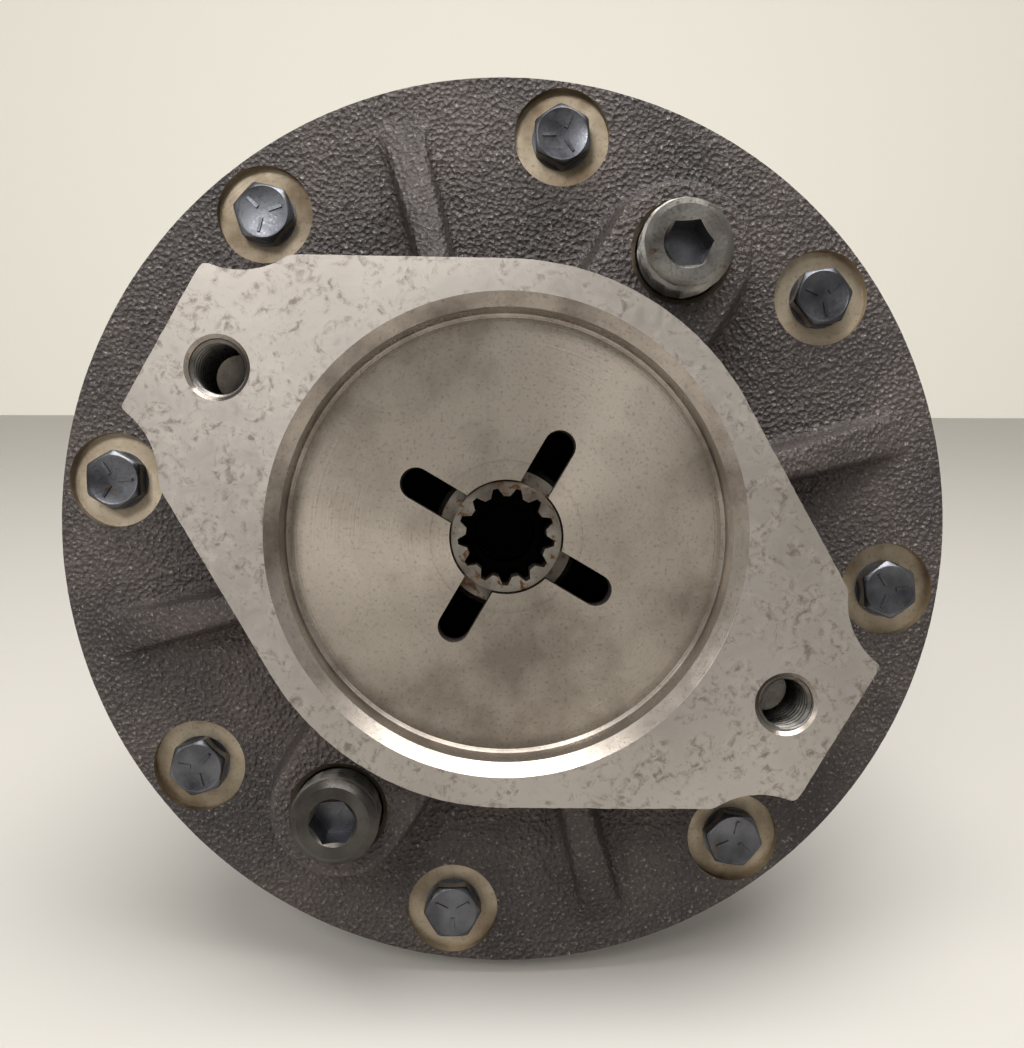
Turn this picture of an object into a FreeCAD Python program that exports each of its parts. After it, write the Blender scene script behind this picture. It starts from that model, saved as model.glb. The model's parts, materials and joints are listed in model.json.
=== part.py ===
import FreeCAD, Part
import math
import os
import re
import Sketcher
from FreeCAD import Placement, Rotation, Vector

# Hydraulic earth auger drive: a two-stage planetary gearbox with a two-bolt motor pad on its cover
# and a hexagonal output shaft. Everything is drawn about the shaft axis, with Z towards the motor
# and Z = 0 on the motor pad, and is then laid on its side.

document = FreeCAD.newDocument("earth_auger_drive")
sheet = document.addObject("Spreadsheet::Sheet", "Sizes")

sizes = {
    # how the drive lies
    "roll_angle": -8,
    # how far a cutting shape or a buried root runs past the face it meets
    "overrun": 1,
    # motor pad
    "motor_bolt_spacing": 146.05,
    "motor_bolt_count": 2,
    "motor_bolt_angle": 157.5,
    "motor_thread_radius": 6.35,
    "motor_thread_depth": 26,
    "pilot_radius": 50.83,
    "pilot_chamfer": 2.9,
    "pilot_depth": 12.7,
    "pilot_corner": 0.8,
    "pad_height": 27,
    "pad_half_length": 86.7,
    "pad_half_end": 20,
    "pad_waist_radius": 60.5,
    "pad_draft": 2,
    # cover
    "cover_edge": 1.5,
    "rim_thickness": 14,
    "cover_wall": 9,
    "register_wall": 7,
    "dome_radius": 44,
    "dome_chamfer": 6,
    "dome_flare": 8,
    "web_thickness": 8,
    "window_radius": 13.3,
    "slot_width": 7.5,
    "slot_reach": 28,
    "slot_angle": 67.5,
    "slot_count": 4,
    "face_ring_radius": 17.8,
    "face_ring_width": 0.7,
    "face_ring_depth": 0.3,
    "register_length": 5,
    "rib_count": 4,
    "rib_angle": 22.5,
    "rib_foot_width": 11,
    "rib_end_gap": 6.45,
    "rib_drop": 8,
    "rib_draft": 8,
    "rib_crown_inset": 4,
    "rib_root": 12,
    "boss_radius": 16.2,
    "boss_drop": 10.5,
    "boss_draft": 9,
    # cover screws
    "screw_count": 8,
    "screw_inset": 9.25,
    "screw_margin": 12.7,
    "screw_radius": 3.97,
    "screw_length": 25.4,
    "screw_head_flats": 12.7,
    "screw_head_height": 5.4,
    "screw_crown_radius": 6.15,
    "screw_crown_slope": 30,
    "screw_washer_radius": 7,
    "screw_washer_height": 0.5,
    "screw_play": 0.35,
    "spotface_radius": 11.3,
    "spotface_depth": 2.5,
    "screw_pocket_radius": 18.3,
    # pipe plugs
    "plug_count": 2,
    "plug_radius": 10.4,
    "plug_length": 19,
    "plug_stand": 9.5,
    "plug_chamfer": 1.9,
    "plug_tail_chamfer": 1,
    "plug_socket_flats": 9.53,
    "plug_socket_depth": 9,
    "plug_circle_radius": 75.5,
    "plug_angle": 66.5,
    "port_radius": 5.5,
    "port_inset": 3,
    "thread_margin": 2,
    # case
    "case_flange_thickness": 18,
    "case_wall": 8,
    "case_end_wall": 11,
    "case_neck_fillet": 5,
    "gland_chamfer": 4,
    "mount_pilot_step": 2,
    "mount_pilot_length": 12,
    "mount_bolt_count": 8,
    "mount_bolt_radius": 79.4,
    "mount_thread_radius": 6.35,
    "mount_thread_depth": 18,
    "hub_wall": 11.5,
    "hub_edge": 2,
    "seal_step": 2.5,
    "shaft_passage_radius": 38,
    # fits
    "seat_play": 0.05,
    "running_play": 0.4,
    "end_play": 0.2,
    # gear train
    "gear_module": 2.5,
    "pressure_angle": 20,
    "gear_addendum": 0.95,
    "gear_dedendum": 1.22,
    "tooth_play": 0.2,
    "sun_teeth": 18,
    "planet_teeth": 21,
    "planet_count": 3,
    "ring_wall": 7.95,
    "ring_overrun": 7,
    "dowel_radius": 2.5,
    "dowel_length": 16,
    "dowel_count": 4,
    # input gear
    "input_nose_setback": 1.5,
    "input_shoulder_radius": 17.3,
    "input_shoulder_width": 6,
    "input_shoulder_chamfer": 1.2,
    "input_hub_radius": 15.5,
    "input_bore_radius": 8,
    "spline_teeth": 13,
    "spline_module": 1.5875,
    "spline_pressure_angle": 30,
    "spline_addendum": 0.5,
    "spline_dedendum": 0.675,
    "spline_depth": 34,
    # first stage
    "planet_setback": 4,
    "primary_face_width": 20,
    "primary_pin_radius": 7.5,
    "primary_needle_radius": 2,
    "primary_carrier_width": 13,
    # second stage
    "stage_gap": 0.7,
    "secondary_face_width": 29.5,
    "secondary_pin_radius": 9.5,
    "secondary_needle_radius": 2.5,
    "secondary_carrier_width": 17,
    "carrier_lip": 3.75,
    "carrier_edge": 1,
    "carrier_scallop_radius": 17,
    "carrier_scallop_setback": 3,
    "carrier_rim_gap": 4,
    "carrier_end_gap": 1.2,
    "needle_end_gap": 1,
    "needle_slack": 0.5,
    "washer_width": 1.2,
    "washer_rim": 6.5,
    "clip_width": 1.3,
    "clip_depth": 1.2,
    "clip_rim": 2.6,
    "clip_opening": 5,
    # output shaft
    "shaft_spline_teeth": 23,
    "shaft_spline_module": 2,
    "shaft_spline_play": 0.15,
    "nut_thread_radius": 26.5,
    "nut_radius": 36.5,
    "nut_width": 9,
    "nut_slot_count": 4,
    "nut_slot_width": 6,
    "nut_slot_depth": 2.5,
    "lock_washer_width": 1.5,
    "inner_journal_radius": 27.5,
    "outer_journal_radius": 30,
    "seal_journal_radius": 32.5,
    "journal_edge": 1,
    "hex_flats": 50.8,
    "hex_length": 64,
    "hex_end_chamfer": 5,
    "hex_pin_radius": 11.1,
    "hex_pin_setback": 30,
    # tapered roller bearings and oil seal
    "bearing_width": 23,
    "bearing_spread": 28,
    "cup_width": 17.5,
    "cup_offset": 1,
    "cone_rib": 1,
    "inner_cup_radius": 45,
    "outer_cup_radius": 47.5,
    "roller_tilt": 14,
    "roller_length": 16,
    "roller_radius": 3.9,
    "roller_taper": 0.45,
    "roller_count": 18,
    "roller_play": 0.12,
    "seal_width": 10,
    "seal_wall": 1.6,
    "seal_lip_radius": 39,
    "seal_lip_lap": 4,
    "seal_lip_rake": 3,
    "seal_lip_land": 1,
    "seal_lip_thickness": 2.2,
    "seal_lip_taper": 0.6,
    "seal_spring_radius": 0.9,
    "seal_spring_gap": 0.3,
    "seal_spring_shift": 0.4,
}

# Places along the axis and other sizes that follow from the ones above.
places = {
    "pitch": "gear_module / 2",
    "carrier_circle": "pitch * (sun_teeth + planet_teeth)",
    "ring_teeth": "sun_teeth + 2 * planet_teeth",
    "ring_root_radius": "pitch * ring_teeth + gear_dedendum * gear_module",
    "case_bore_radius": "ring_root_radius + ring_wall",
    "dowel_circle": "ring_root_radius + ring_wall / 2",
    "screw_circle_radius": "case_bore_radius + screw_inset",
    "cover_radius": "screw_circle_radius + screw_margin",
    "cavity_radius": "case_bore_radius - register_wall",
    "rib_reach": "cover_radius - rib_end_gap",
    "case_neck_radius": "case_bore_radius + case_wall",
    "seal_bore_radius": "outer_cup_radius + seal_step",
    "hub_radius": "seal_bore_radius + hub_wall",
    "mount_pilot_radius": "hub_radius + mount_pilot_step",
    "primary_rim_radius": "carrier_circle + primary_pin_radius + carrier_lip",
    "secondary_rim_radius": "carrier_circle + secondary_pin_radius + carrier_lip",
    "case_cavity_radius": "secondary_rim_radius + carrier_rim_gap",
    "input_nose_radius": "window_radius - running_play",
    "hex_corner_radius": "hex_flats / sqrt(3)",
    "face_level": "-pad_height",
    "joint_level": "face_level - rim_thickness",
    "wall_level": "face_level - cover_wall",
    "web_level": "-(pilot_depth + web_thickness)",
    "nose_level": "-(pilot_depth + input_nose_setback)",
    "boss_level": "-boss_drop",
    "spotface_level": "face_level - spotface_depth",
    "register_level": "joint_level - register_length",
    "flange_level": "joint_level - case_flange_thickness",
    "ring_level": "register_level - end_play",
    "primary_level": "register_level - planet_setback",
    "primary_end_level": "primary_level - primary_face_width",
    "primary_plate_level": "primary_end_level - washer_width - 2 * end_play",
    "primary_back_level": "primary_plate_level - primary_carrier_width",
    "pin_projection": "washer_width + 2 * clip_width + 2 * end_play",
    "secondary_level": "primary_back_level - stage_gap - pin_projection",
    "secondary_end_level": "secondary_level - secondary_face_width",
    "seat_level": "secondary_end_level - ring_overrun",
    "secondary_plate_level": "secondary_end_level - washer_width - 2 * end_play",
    "secondary_back_level": "secondary_plate_level - secondary_carrier_width",
    "plate_recess": "2 * clip_width + 2 * end_play",
    "cavity_level": "secondary_back_level - carrier_end_gap",
    "neck_level": "cavity_level - case_end_wall",
    "nut_level": "secondary_back_level - clip_width",
    "lock_level": "nut_level - nut_width",
    "inner_bearing_level": "lock_level - lock_washer_width",
    "outer_bearing_level": "inner_bearing_level - bearing_spread - 2 * bearing_width",
    "cup_setback": "(bearing_width - cup_width) / 2 + cup_offset",
    "inner_cup_level": "inner_bearing_level - cup_setback",
    "outer_cup_level": "outer_bearing_level + cup_setback",
    "shaft_top_level": "secondary_plate_level - end_play",
    "hub_level": "outer_bearing_level - clip_width - seal_width",
    "hex_level": "hub_level - clip_width",
    "hex_end_level": "hex_level - hex_length",
}


def formula(text):
    """A formula in sizes and places, as an expression on the sheet's own cells."""
    def word(found):
        name = found.group()
        if name in sizes:
            return "Sizes." + name
        if name in places:
            return "(" + formula(places[name]) + ")"
        return name
    return re.sub(r"[a-z_]+", word, text)


def size(text):
    """The value of a formula in sizes and places."""
    return float(sheet.evalExpression(formula(text)))


def bind(item, setting, text):
    item.setExpression(setting, formula(text))


for row, (alias, number) in enumerate(sizes.items(), start=1):
    sheet.set(f"A{row}", alias)
    sheet.set(f"B{row}", str(number))
    sheet.setAlias(f"B{row}", alias)
document.recompute()

laid = Placement(Vector(0, 0, 0), Rotation(Vector(1, 0, 0), 90))
laid = laid.multiply(Placement(Vector(0, 0, 0), Rotation(Vector(0, 0, 1), size("roll_angle"))))
pieces = []


def keep(item, label):
    """Name a finished sub-part and lay it on its side with the rest."""
    item.Label = label
    item.Placement = laid.multiply(item.Placement)
    pieces.append(item)
    return item


def new_body(name):
    return document.addObject("PartDesign::Body", name)


def origin_of(body, role):
    return next(item for item in body.Origin.OriginFeatures if item.Role == role)


def new_sketch(body, role="XY_Plane", level="0", turn="0"):
    """A sketch on one of the body's planes, raised along its normal and turned about it."""
    sketch = body.newObject("Sketcher::SketchObject", "Sketch")
    sketch.AttachmentSupport = [(origin_of(body, role), "")]
    sketch.MapMode = "FlatFace"
    sketch.AttachmentOffset = Placement(Vector(0, 0, 0), Rotation(Vector(0, 0, 1), 1))
    bind(sketch, "AttachmentOffset.Base.z", level)
    bind(sketch, "AttachmentOffset.Rotation.Angle", turn)
    return sketch


def place_point(sketch, shape, end, across, up):
    """Hold one point of a sketch at (across, up)."""
    for kind, text, axis in (("DistanceX", across, -2), ("DistanceY", up, -1)):
        if text == "0":
            sketch.addConstraint(Sketcher.Constraint("PointOnObject", shape, end, axis))
        else:
            index = sketch.addConstraint(Sketcher.Constraint(kind, -1, 1, shape, end, size(text)))
            bind(sketch, f"Constraints[{index}]", text)


def circle(sketch, across, up, radius):
    centre = Vector(size(across), size(up), 0)
    shape = sketch.addGeometry(Part.Circle(centre, Vector(0, 0, 1), size(radius)))
    place_point(sketch, shape, 3, across, up)
    index = sketch.addConstraint(Sketcher.Constraint("Radius", shape, size(radius)))
    bind(sketch, f"Constraints[{index}]", radius)


def arc_between(start, end, radius):
    """An arc that bulges to the right of the way from start to end."""
    middle = (start + end) * 0.5
    along = end - start
    left = Vector(-along.y, along.x, 0).normalize()
    rise = math.sqrt(max(radius ** 2 - (along.Length / 2) ** 2, 0))
    centre = middle + left * rise
    first = math.atan2(start.y - centre.y, start.x - centre.x)
    last = math.atan2(end.y - centre.y, end.x - centre.x)
    return Part.ArcOfCircle(Part.Circle(centre, Vector(0, 0, 1), radius), first, last)


def outline(sketch, corners):
    """A closed outline. A corner is (across, up), or (across, up, radius) where an arc starts."""
    points = [Vector(size(corner[0]), size(corner[1]), 0) for corner in corners]
    shapes = []
    for number, corner in enumerate(corners):
        start = points[number]
        end = points[(number + 1) % len(points)]
        if len(corner) == 3:
            edge = arc_between(start, end, size(corner[2]))
        else:
            edge = Part.LineSegment(start, end)
        shapes.append(sketch.addGeometry(edge))
    for number, corner in enumerate(corners):
        place_point(sketch, shapes[number], 1, corner[0], corner[1])
        following = shapes[(number + 1) % len(shapes)]
        sketch.addConstraint(Sketcher.Constraint("Coincident", shapes[number], 2, following, 1))
        if len(corner) == 3:
            edge = Sketcher.Constraint("Radius", shapes[number], size(corner[2]))
            bind(sketch, f"Constraints[{sketch.addConstraint(edge)}]", corner[2])


def hexagon(sketch, flats):
    """A regular hexagon about the origin, by its width across flats."""
    corner = f"({flats}) / sqrt(3)"
    corners = [(f"{corner} * cos({turn})", f"{corner} * sin({turn})") for turn in range(0, 360, 60)]
    corners[0] = (corner, "0")
    corners[3] = (f"-{corner}", "0")
    outline(sketch, corners)


def revolve(body, corners, kind="PartDesign::Revolution"):
    """Turn an outline of (radius, level) corners once about the shaft axis."""
    sketch = new_sketch(body, "XZ_Plane")
    outline(sketch, corners)
    feature = body.newObject(kind, kind.split("::")[1])
    feature.Profile = sketch
    feature.ReferenceAxis = (sketch, ["V_Axis"])
    feature.Angle = 360
    return feature


def pad(body, sketch, length, draft="0"):
    """Material from the sketch down towards the output end, growing with the draft."""
    feature = body.newObject("PartDesign::Pad", "Pad")
    feature.Profile = sketch
    feature.Reversed = True
    bind(feature, "Length", length)
    bind(feature, "TaperAngle", draft)
    return feature


def pocket(body, sketch, depth, towards_motor=False):
    """A cut from the sketch down towards the output end, or the other way."""
    feature = body.newObject("PartDesign::Pocket", "Pocket")
    feature.Profile = sketch
    feature.Reversed = towards_motor
    bind(feature, "Length", depth)
    return feature


def repeat(body, features, count):
    """The same features all round the shaft axis."""
    pattern = body.newObject("PartDesign::PolarPattern", "PolarPattern")
    pattern.Originals = features
    pattern.Axis = (origin_of(body, "Z_Axis"), [""])
    pattern.Angle = 360
    bind(pattern, "Occurrences", count)
    body.Tip = pattern
    return pattern


def turned_piece(label, corners):
    body = new_body(label)
    revolve(body, corners)
    return keep(body, label)


def ring_corners(inner, outer, top, width):
    return [(inner, top), (outer, top), (outer, f"{top} - ({width})"), (inner, f"{top} - ({width})")]


def solid_group(label, solids):
    """Several like solids in one sub-part."""
    item = document.addObject("Part::Feature", label)
    item.Shape = Part.makeCompound(solids)
    return keep(item, label)


def round_the_axis(shape, count, first=0.0):
    """Copies of a shape at equal steps about the shaft axis."""
    copies = []
    for number in range(count):
        copy = shape.copy()
        copy.rotate(Vector(0, 0, 0), Vector(0, 0, 1), first + 360 / count * number)
        copies.append(copy)
    return copies


def make_input_cover():
    body = new_body("input_cover")
    bore = "case_bore_radius - seat_play"
    revolve(body, [
        ("0", "face_level"),
        ("cover_radius - cover_edge", "face_level"),
        ("cover_radius", "face_level - cover_edge"),
        ("cover_radius", "joint_level"),
        (bore, "joint_level"),
        (bore, "register_level"),
        ("cavity_radius", "register_level"),
        ("cavity_radius", "wall_level"),
        ("0", "wall_level"),
    ])
    # gussets that run up to the motor pad, their tops cut back to one shallow cone
    foot = new_sketch(body, level="-rib_drop", turn="rib_angle")
    inner = "pad_waist_radius - rib_root"
    outline(foot, [
        (inner, "-rib_foot_width / 4"),
        ("rib_reach", "-rib_foot_width / 4"),
        ("rib_reach", "rib_foot_width / 4"),
        (inner, "rib_foot_width / 4"),
    ])
    rib = pad(body, foot, "pad_height - rib_drop + overrun", "rib_draft")
    repeat(body, [rib], "rib_count")
    revolve(body, [
        ("pad_waist_radius - rib_crown_inset", "-rib_drop"),
        ("rib_reach", "face_level"),
        ("cover_radius + overrun", "face_level"),
        ("cover_radius + overrun", "0"),
        (inner, "0"),
        (inner, "-rib_drop"),
    ], "PartDesign::Groove")
    # bosses for the two pipe plugs
    tongue = new_sketch(body, level="boss_level", turn="plug_angle")
    outline(tongue, [
        ("pad_waist_radius - rib_root", "-boss_radius"),
        ("plug_circle_radius", "-boss_radius", "boss_radius"),
        ("plug_circle_radius + boss_radius", "0", "boss_radius"),
        ("plug_circle_radius", "boss_radius"),
        ("pad_waist_radius - rib_root", "boss_radius"),
    ])
    boss = pad(body, tongue, "pad_height - boss_drop + overrun", "boss_draft")
    repeat(body, [boss], "plug_count")
    # the motor pad: a round waist drawn out to two square ends
    face = new_sketch(body, turn="motor_bolt_angle")
    reach = "sqrt(pad_half_length * pad_half_length + pad_half_end * pad_half_end)"
    bearing = f"(acos(pad_waist_radius / {reach}) + atan(pad_half_end / pad_half_length))"
    waist_x = f"pad_waist_radius * cos({bearing})"
    waist_y = f"pad_waist_radius * sin({bearing})"
    outline(face, [
        ("pad_half_length", "-pad_half_end"),
        ("pad_half_length", "pad_half_end"),
        (waist_x, waist_y, "pad_waist_radius"),
        (f"-{waist_x}", waist_y),
        ("-pad_half_length", "pad_half_end"),
        ("-pad_half_length", "-pad_half_end"),
        (f"-{waist_x}", f"-{waist_y}", "pad_waist_radius"),
        (waist_x, f"-{waist_y}"),
    ])
    pad(body, face, "pad_height + overrun", "pad_draft")
    # clearance round every screw head
    well = new_sketch(body, turn="360 / screw_count")
    circle(well, "screw_circle_radius", "0", "screw_pocket_radius")
    repeat(body, [pocket(body, well, "pad_height")], "screw_count")
    spot = new_sketch(body, level="face_level")
    circle(spot, "screw_circle_radius", "0", "spotface_radius")
    hole = new_sketch(body, level="face_level")
    circle(hole, "screw_circle_radius", "0", "screw_radius + screw_play")
    seat = pocket(body, spot, "spotface_depth")
    through = pocket(body, hole, "rim_thickness")
    repeat(body, [seat, through], "screw_count")
    # motor pilot with its chamfer for a sealing ring, and the ring turned in its floor
    floor = "-pilot_depth"
    revolve(body, [
        ("0", "0"),
        ("pilot_radius + pilot_chamfer", "0"),
        ("pilot_radius", "-pilot_chamfer"),
        ("pilot_radius", f"{floor} + pilot_corner"),
        ("pilot_radius - pilot_corner", floor),
        ("face_ring_radius", floor),
        ("face_ring_radius", f"{floor} - face_ring_depth"),
        ("face_ring_radius - face_ring_width", f"{floor} - face_ring_depth"),
        ("face_ring_radius - face_ring_width", floor),
        ("0", floor),
    ], "PartDesign::Groove")
    # the dome under the motor floor
    revolve(body, [
        ("0", "web_level"),
        ("dome_radius - dome_chamfer", "web_level"),
        ("dome_radius", "web_level - dome_chamfer"),
        ("dome_radius + dome_flare", "wall_level"),
        ("0", "wall_level"),
    ], "PartDesign::Groove")
    window = new_sketch(body, level=floor)
    circle(window, "0", "0", "window_radius")
    pocket(body, window, "web_thickness")
    slot = new_sketch(body, level=floor, turn="slot_angle")
    end = "slot_reach - slot_width / 2"
    outline(slot, [
        ("window_radius - slot_width / 2", "-slot_width / 2"),
        (end, "-slot_width / 2", "slot_width / 2"),
        ("slot_reach", "0", "slot_width / 2"),
        (end, "slot_width / 2"),
        ("window_radius - slot_width / 2", "slot_width / 2"),
    ])
    repeat(body, [pocket(body, slot, "web_thickness")], "slot_count")
    # plug ports, open to the cavity through a smaller passage
    port = new_sketch(body, level="boss_level", turn="plug_angle")
    circle(port, "plug_circle_radius", "0", "plug_radius + seat_play")
    passage = new_sketch(body, level="boss_level", turn="plug_angle")
    circle(passage, "plug_circle_radius - port_inset", "0", "port_radius")
    wide = pocket(body, port, "plug_length - plug_stand + thread_margin")
    narrow = pocket(body, passage, "pad_height - boss_drop + cover_wall")
    repeat(body, [wide, narrow], "plug_count")
    # tapped holes for the two motor bolts
    tap = new_sketch(body, turn="motor_bolt_angle")
    circle(tap, "motor_bolt_spacing / 2", "0", "motor_thread_radius")
    repeat(body, [pocket(body, tap, "motor_thread_depth")], "motor_bolt_count")
    return keep(body, "input_cover")


def make_case():
    body = new_body("case")
    gland = "case_bore_radius + gland_chamfer"
    fillet = "case_neck_fillet"
    revolve(body, [
        (gland, "joint_level"),
        ("case_bore_radius", "joint_level - gland_chamfer"),
        ("case_bore_radius", "seat_level"),
        ("case_cavity_radius", "seat_level"),
        ("case_cavity_radius", "cavity_level"),
        ("inner_cup_radius", "cavity_level"),
        ("inner_cup_radius", "inner_cup_level - cup_width"),
        ("shaft_passage_radius", "inner_cup_level - cup_width"),
        ("shaft_passage_radius", "outer_cup_level + cup_width"),
        ("outer_cup_radius", "outer_cup_level + cup_width"),
        ("outer_cup_radius", "outer_bearing_level"),
        ("seal_bore_radius", "outer_bearing_level"),
        ("seal_bore_radius", "hub_level"),
        ("hub_radius - hub_edge", "hub_level"),
        ("hub_radius", "hub_level + hub_edge"),
        ("hub_radius", "neck_level - mount_pilot_length - hub_edge"),
        ("mount_pilot_radius", "neck_level - mount_pilot_length"),
        ("mount_pilot_radius", "neck_level"),
        ("case_neck_radius - hub_edge", "neck_level"),
        ("case_neck_radius", "neck_level + hub_edge"),
        ("case_neck_radius", f"flange_level - {fillet}"),
        (f"case_neck_radius + {fillet}", "flange_level"),
        ("cover_radius - cover_edge", "flange_level"),
        ("cover_radius", "flange_level + cover_edge"),
        ("cover_radius", "joint_level"),
    ])
    tap = new_sketch(body, level="joint_level")
    circle(tap, "screw_circle_radius", "0", "screw_radius + seat_play")
    engaged = "screw_length - rim_thickness + spotface_depth"
    repeat(body, [pocket(body, tap, f"{engaged} + thread_margin")], "screw_count")
    mount = new_sketch(body, level="neck_level", turn="180 / mount_bolt_count")
    circle(mount, "mount_bolt_radius", "0", "mount_thread_radius")
    repeat(body, [pocket(body, mount, "mount_thread_depth", towards_motor=True)], "mount_bolt_count")
    dowel = new_sketch(body, level="seat_level")
    circle(dowel, "dowel_circle", "0", "dowel_radius + seat_play / 2")
    repeat(body, [pocket(body, dowel, "dowel_length / 2 + end_play")], "dowel_count")
    return keep(body, "case")


def extruded(outline_face, top, bottom):
    """A flat face at Z = 0 made into a solid between two levels."""
    solid = outline_face.extrude(Vector(0, 0, size(top) - size(bottom)))
    solid.translate(Vector(0, 0, size(bottom)))
    return solid


def disc(radius, top, width):
    """A plain round slab, by its radius, its top level and its width."""
    face = Part.Face(Part.Wire(Part.makeCircle(size(radius))))
    return extruded(face, top, f"{top} - ({width})")


def tube(inner, outer, top, width):
    """A plain ring, by its radii, its top level and its width."""
    return disc(outer, top, width).cut(disc(inner, top, width))


def involute(angle):
    return math.tan(angle) - angle


def toothed_face(teeth, module, pressure_angle, tip, root, play):
    """A toothed outline with one tooth on the X axis. Each flank is one chord of its involute."""
    pressure = math.radians(pressure_angle)
    pitch_radius = teeth * module / 2
    base = pitch_radius * math.cos(pressure)
    at_pitch = (math.pi * module / 2 - play) / (2 * pitch_radius) + involute(pressure)
    radii = [root, max(base, root + module / 10), tip]
    flank = [(radius, at_pitch - involute(math.acos(min(base / radius, 1)))) for radius in radii]
    points = []
    for number in range(int(teeth)):
        centre = 2 * math.pi / teeth * number
        rising = [(radius, centre - half) for radius, half in flank]
        falling = [(radius, centre + half) for radius, half in reversed(flank)]
        for radius, angle in rising + falling:
            points.append(Vector(radius * math.cos(angle), radius * math.sin(angle), 0))
    return Part.Face(Part.makePolygon(points + points[:1]))


def gear_face(teeth, internal=False):
    """The train's own tooth form: a gear, or the shape of the hole in a toothed ring."""
    pitch_radius = size("pitch") * teeth
    addendum = size("gear_addendum * gear_module")
    dedendum = size("gear_dedendum * gear_module")
    angle = size("pressure_angle")
    play = size("tooth_play")
    module = size("gear_module")
    if internal:
        return toothed_face(teeth, module, angle, pitch_radius + dedendum, pitch_radius - addendum, -play)
    return toothed_face(teeth, module, angle, pitch_radius + addendum, pitch_radius - dedendum, play)


def form(name, shape):
    """A shape that a later fuse or cut takes in."""
    item = document.addObject("Part::Feature", name)
    item.Shape = shape
    return item


def combine(kind, base, tool):
    item = document.addObject(kind, kind.split("::")[1])
    item.Base = base
    item.Tool = tool
    return item


def make_ring_gear():
    teeth = size("ring_teeth")
    blank = disc("case_bore_radius - seat_play", "ring_level", "ring_level - seat_level")
    blank = form("ring_blank", blank)
    hole = extruded(gear_face(teeth, internal=True), "ring_level + overrun", "seat_level - overrun")
    hole = form("ring_teeth", hole)
    pin = Part.makeCylinder(size("dowel_radius + seat_play / 2"), size("dowel_length / 2 + end_play"))
    pin.translate(Vector(size("dowel_circle"), 0, size("seat_level")))
    pins = form("ring_dowel_holes", Part.makeCompound(round_the_axis(pin, int(size("dowel_count")))))
    keep(combine("Part::Cut", combine("Part::Cut", blank, hole), pins), "ring_gear")
    dowel = Part.makeCylinder(size("dowel_radius"), size("dowel_length"))
    dowel.translate(Vector(size("dowel_circle"), 0, size("seat_level - dowel_length / 2")))
    solid_group("ring_dowels", round_the_axis(dowel, int(size("dowel_count"))))


def hexagon_face(flats):
    corner = flats / math.sqrt(3)
    turns = [math.radians(turn) for turn in range(0, 361, 60)]
    points = [Vector(corner * math.cos(turn), corner * math.sin(turn), 0) for turn in turns]
    return Part.Face(Part.makePolygon(points))


def make_cover_screws():
    """Hexagon head screws, each with a round bearing face under its head and a chamfered top."""
    seat = "spotface_level"
    flats = size("screw_head_flats")
    head = extruded(hexagon_face(flats), f"{seat} + screw_head_height", f"{seat} + screw_washer_height")
    height = size("screw_head_height")
    crown = size("screw_crown_radius")
    spread = height / math.tan(math.radians(size("screw_crown_slope")))
    cap = Part.makeCone(crown + spread, crown, height, Vector(0, 0, size(seat)))
    washer = disc("screw_washer_radius", f"{seat} + screw_washer_height", "screw_washer_height")
    shank = disc("screw_radius", seat, "screw_length")
    screw = head.common(cap).fuse([washer, shank]).removeSplitter()
    screw.translate(Vector(size("screw_circle_radius"), 0, 0))
    solid_group("cover_screws", round_the_axis(screw, int(size("screw_count"))))


def make_cover_seal():
    """The rubber ring in the corner between the case mouth and the cover."""
    ring = document.addObject("Part::Torus", "cover_seal_ring")
    section = "gland_chamfer * (2 - sqrt(2)) / 2 - seat_play"
    bind(ring, "Radius1", f"case_bore_radius + {section}")
    bind(ring, "Radius2", section)
    document.recompute()
    ring.Placement = Placement(Vector(0, 0, size(f"joint_level - ({section}) - seat_play")), Rotation())
    keep(ring, "cover_seal_ring")


def make_plug(label, turn):
    """A pipe plug with a hexagon socket, screwed part of the way into its boss."""
    body = new_body(label)
    top = "boss_level + plug_stand"
    revolve(body, [
        ("0", top),
        ("plug_radius - plug_chamfer", top),
        ("plug_radius", f"{top} - plug_chamfer"),
        ("plug_radius", f"{top} - plug_length + plug_tail_chamfer"),
        ("plug_radius - plug_tail_chamfer", f"{top} - plug_length"),
        ("0", f"{top} - plug_length"),
    ])
    socket = new_sketch(body, level=top)
    hexagon(socket, "plug_socket_flats")
    pocket(body, socket, "plug_socket_depth")
    angle = math.radians(size("plug_angle") + turn)
    radius = size("plug_circle_radius")
    body.Placement = Placement(Vector(radius * math.cos(angle), radius * math.sin(angle), 0), Rotation())
    keep(body, label)


def make_input_gear():
    """First sun gear, with the socket for the motor's splined shaft in its long nose."""
    body = new_body("input_nose")
    shoulder = "web_level - 2 * end_play"
    revolve(body, [
        ("input_bore_radius", "nose_level"),
        ("input_nose_radius", "nose_level"),
        ("input_nose_radius", shoulder),
        ("input_shoulder_radius - input_shoulder_chamfer", shoulder),
        ("input_shoulder_radius", f"{shoulder} - input_shoulder_chamfer"),
        ("input_shoulder_radius", f"{shoulder} - input_shoulder_width"),
        ("input_hub_radius", f"{shoulder} - input_shoulder_width"),
        ("input_hub_radius", "primary_level"),
        ("input_bore_radius", "primary_level"),
    ])
    teeth = extruded(gear_face(size("sun_teeth")), "primary_level + overrun", "primary_end_level")
    bore = disc("input_bore_radius", "primary_level + overrun", "primary_face_width + 2 * overrun")
    sun = combine("Part::Fuse", body, form("input_teeth", teeth.cut(bore)))
    module = size("spline_module")
    count = size("spline_teeth")
    middle = module * count / 2
    deep = middle + module * size("spline_dedendum")
    high = middle - module * size("spline_addendum")
    socket = toothed_face(count, module, size("spline_pressure_angle"), deep, high, 0)
    socket = extruded(socket, "0", "nose_level - spline_depth")
    keep(combine("Part::Cut", sun, form("input_socket", socket)), "input_gear")


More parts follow.
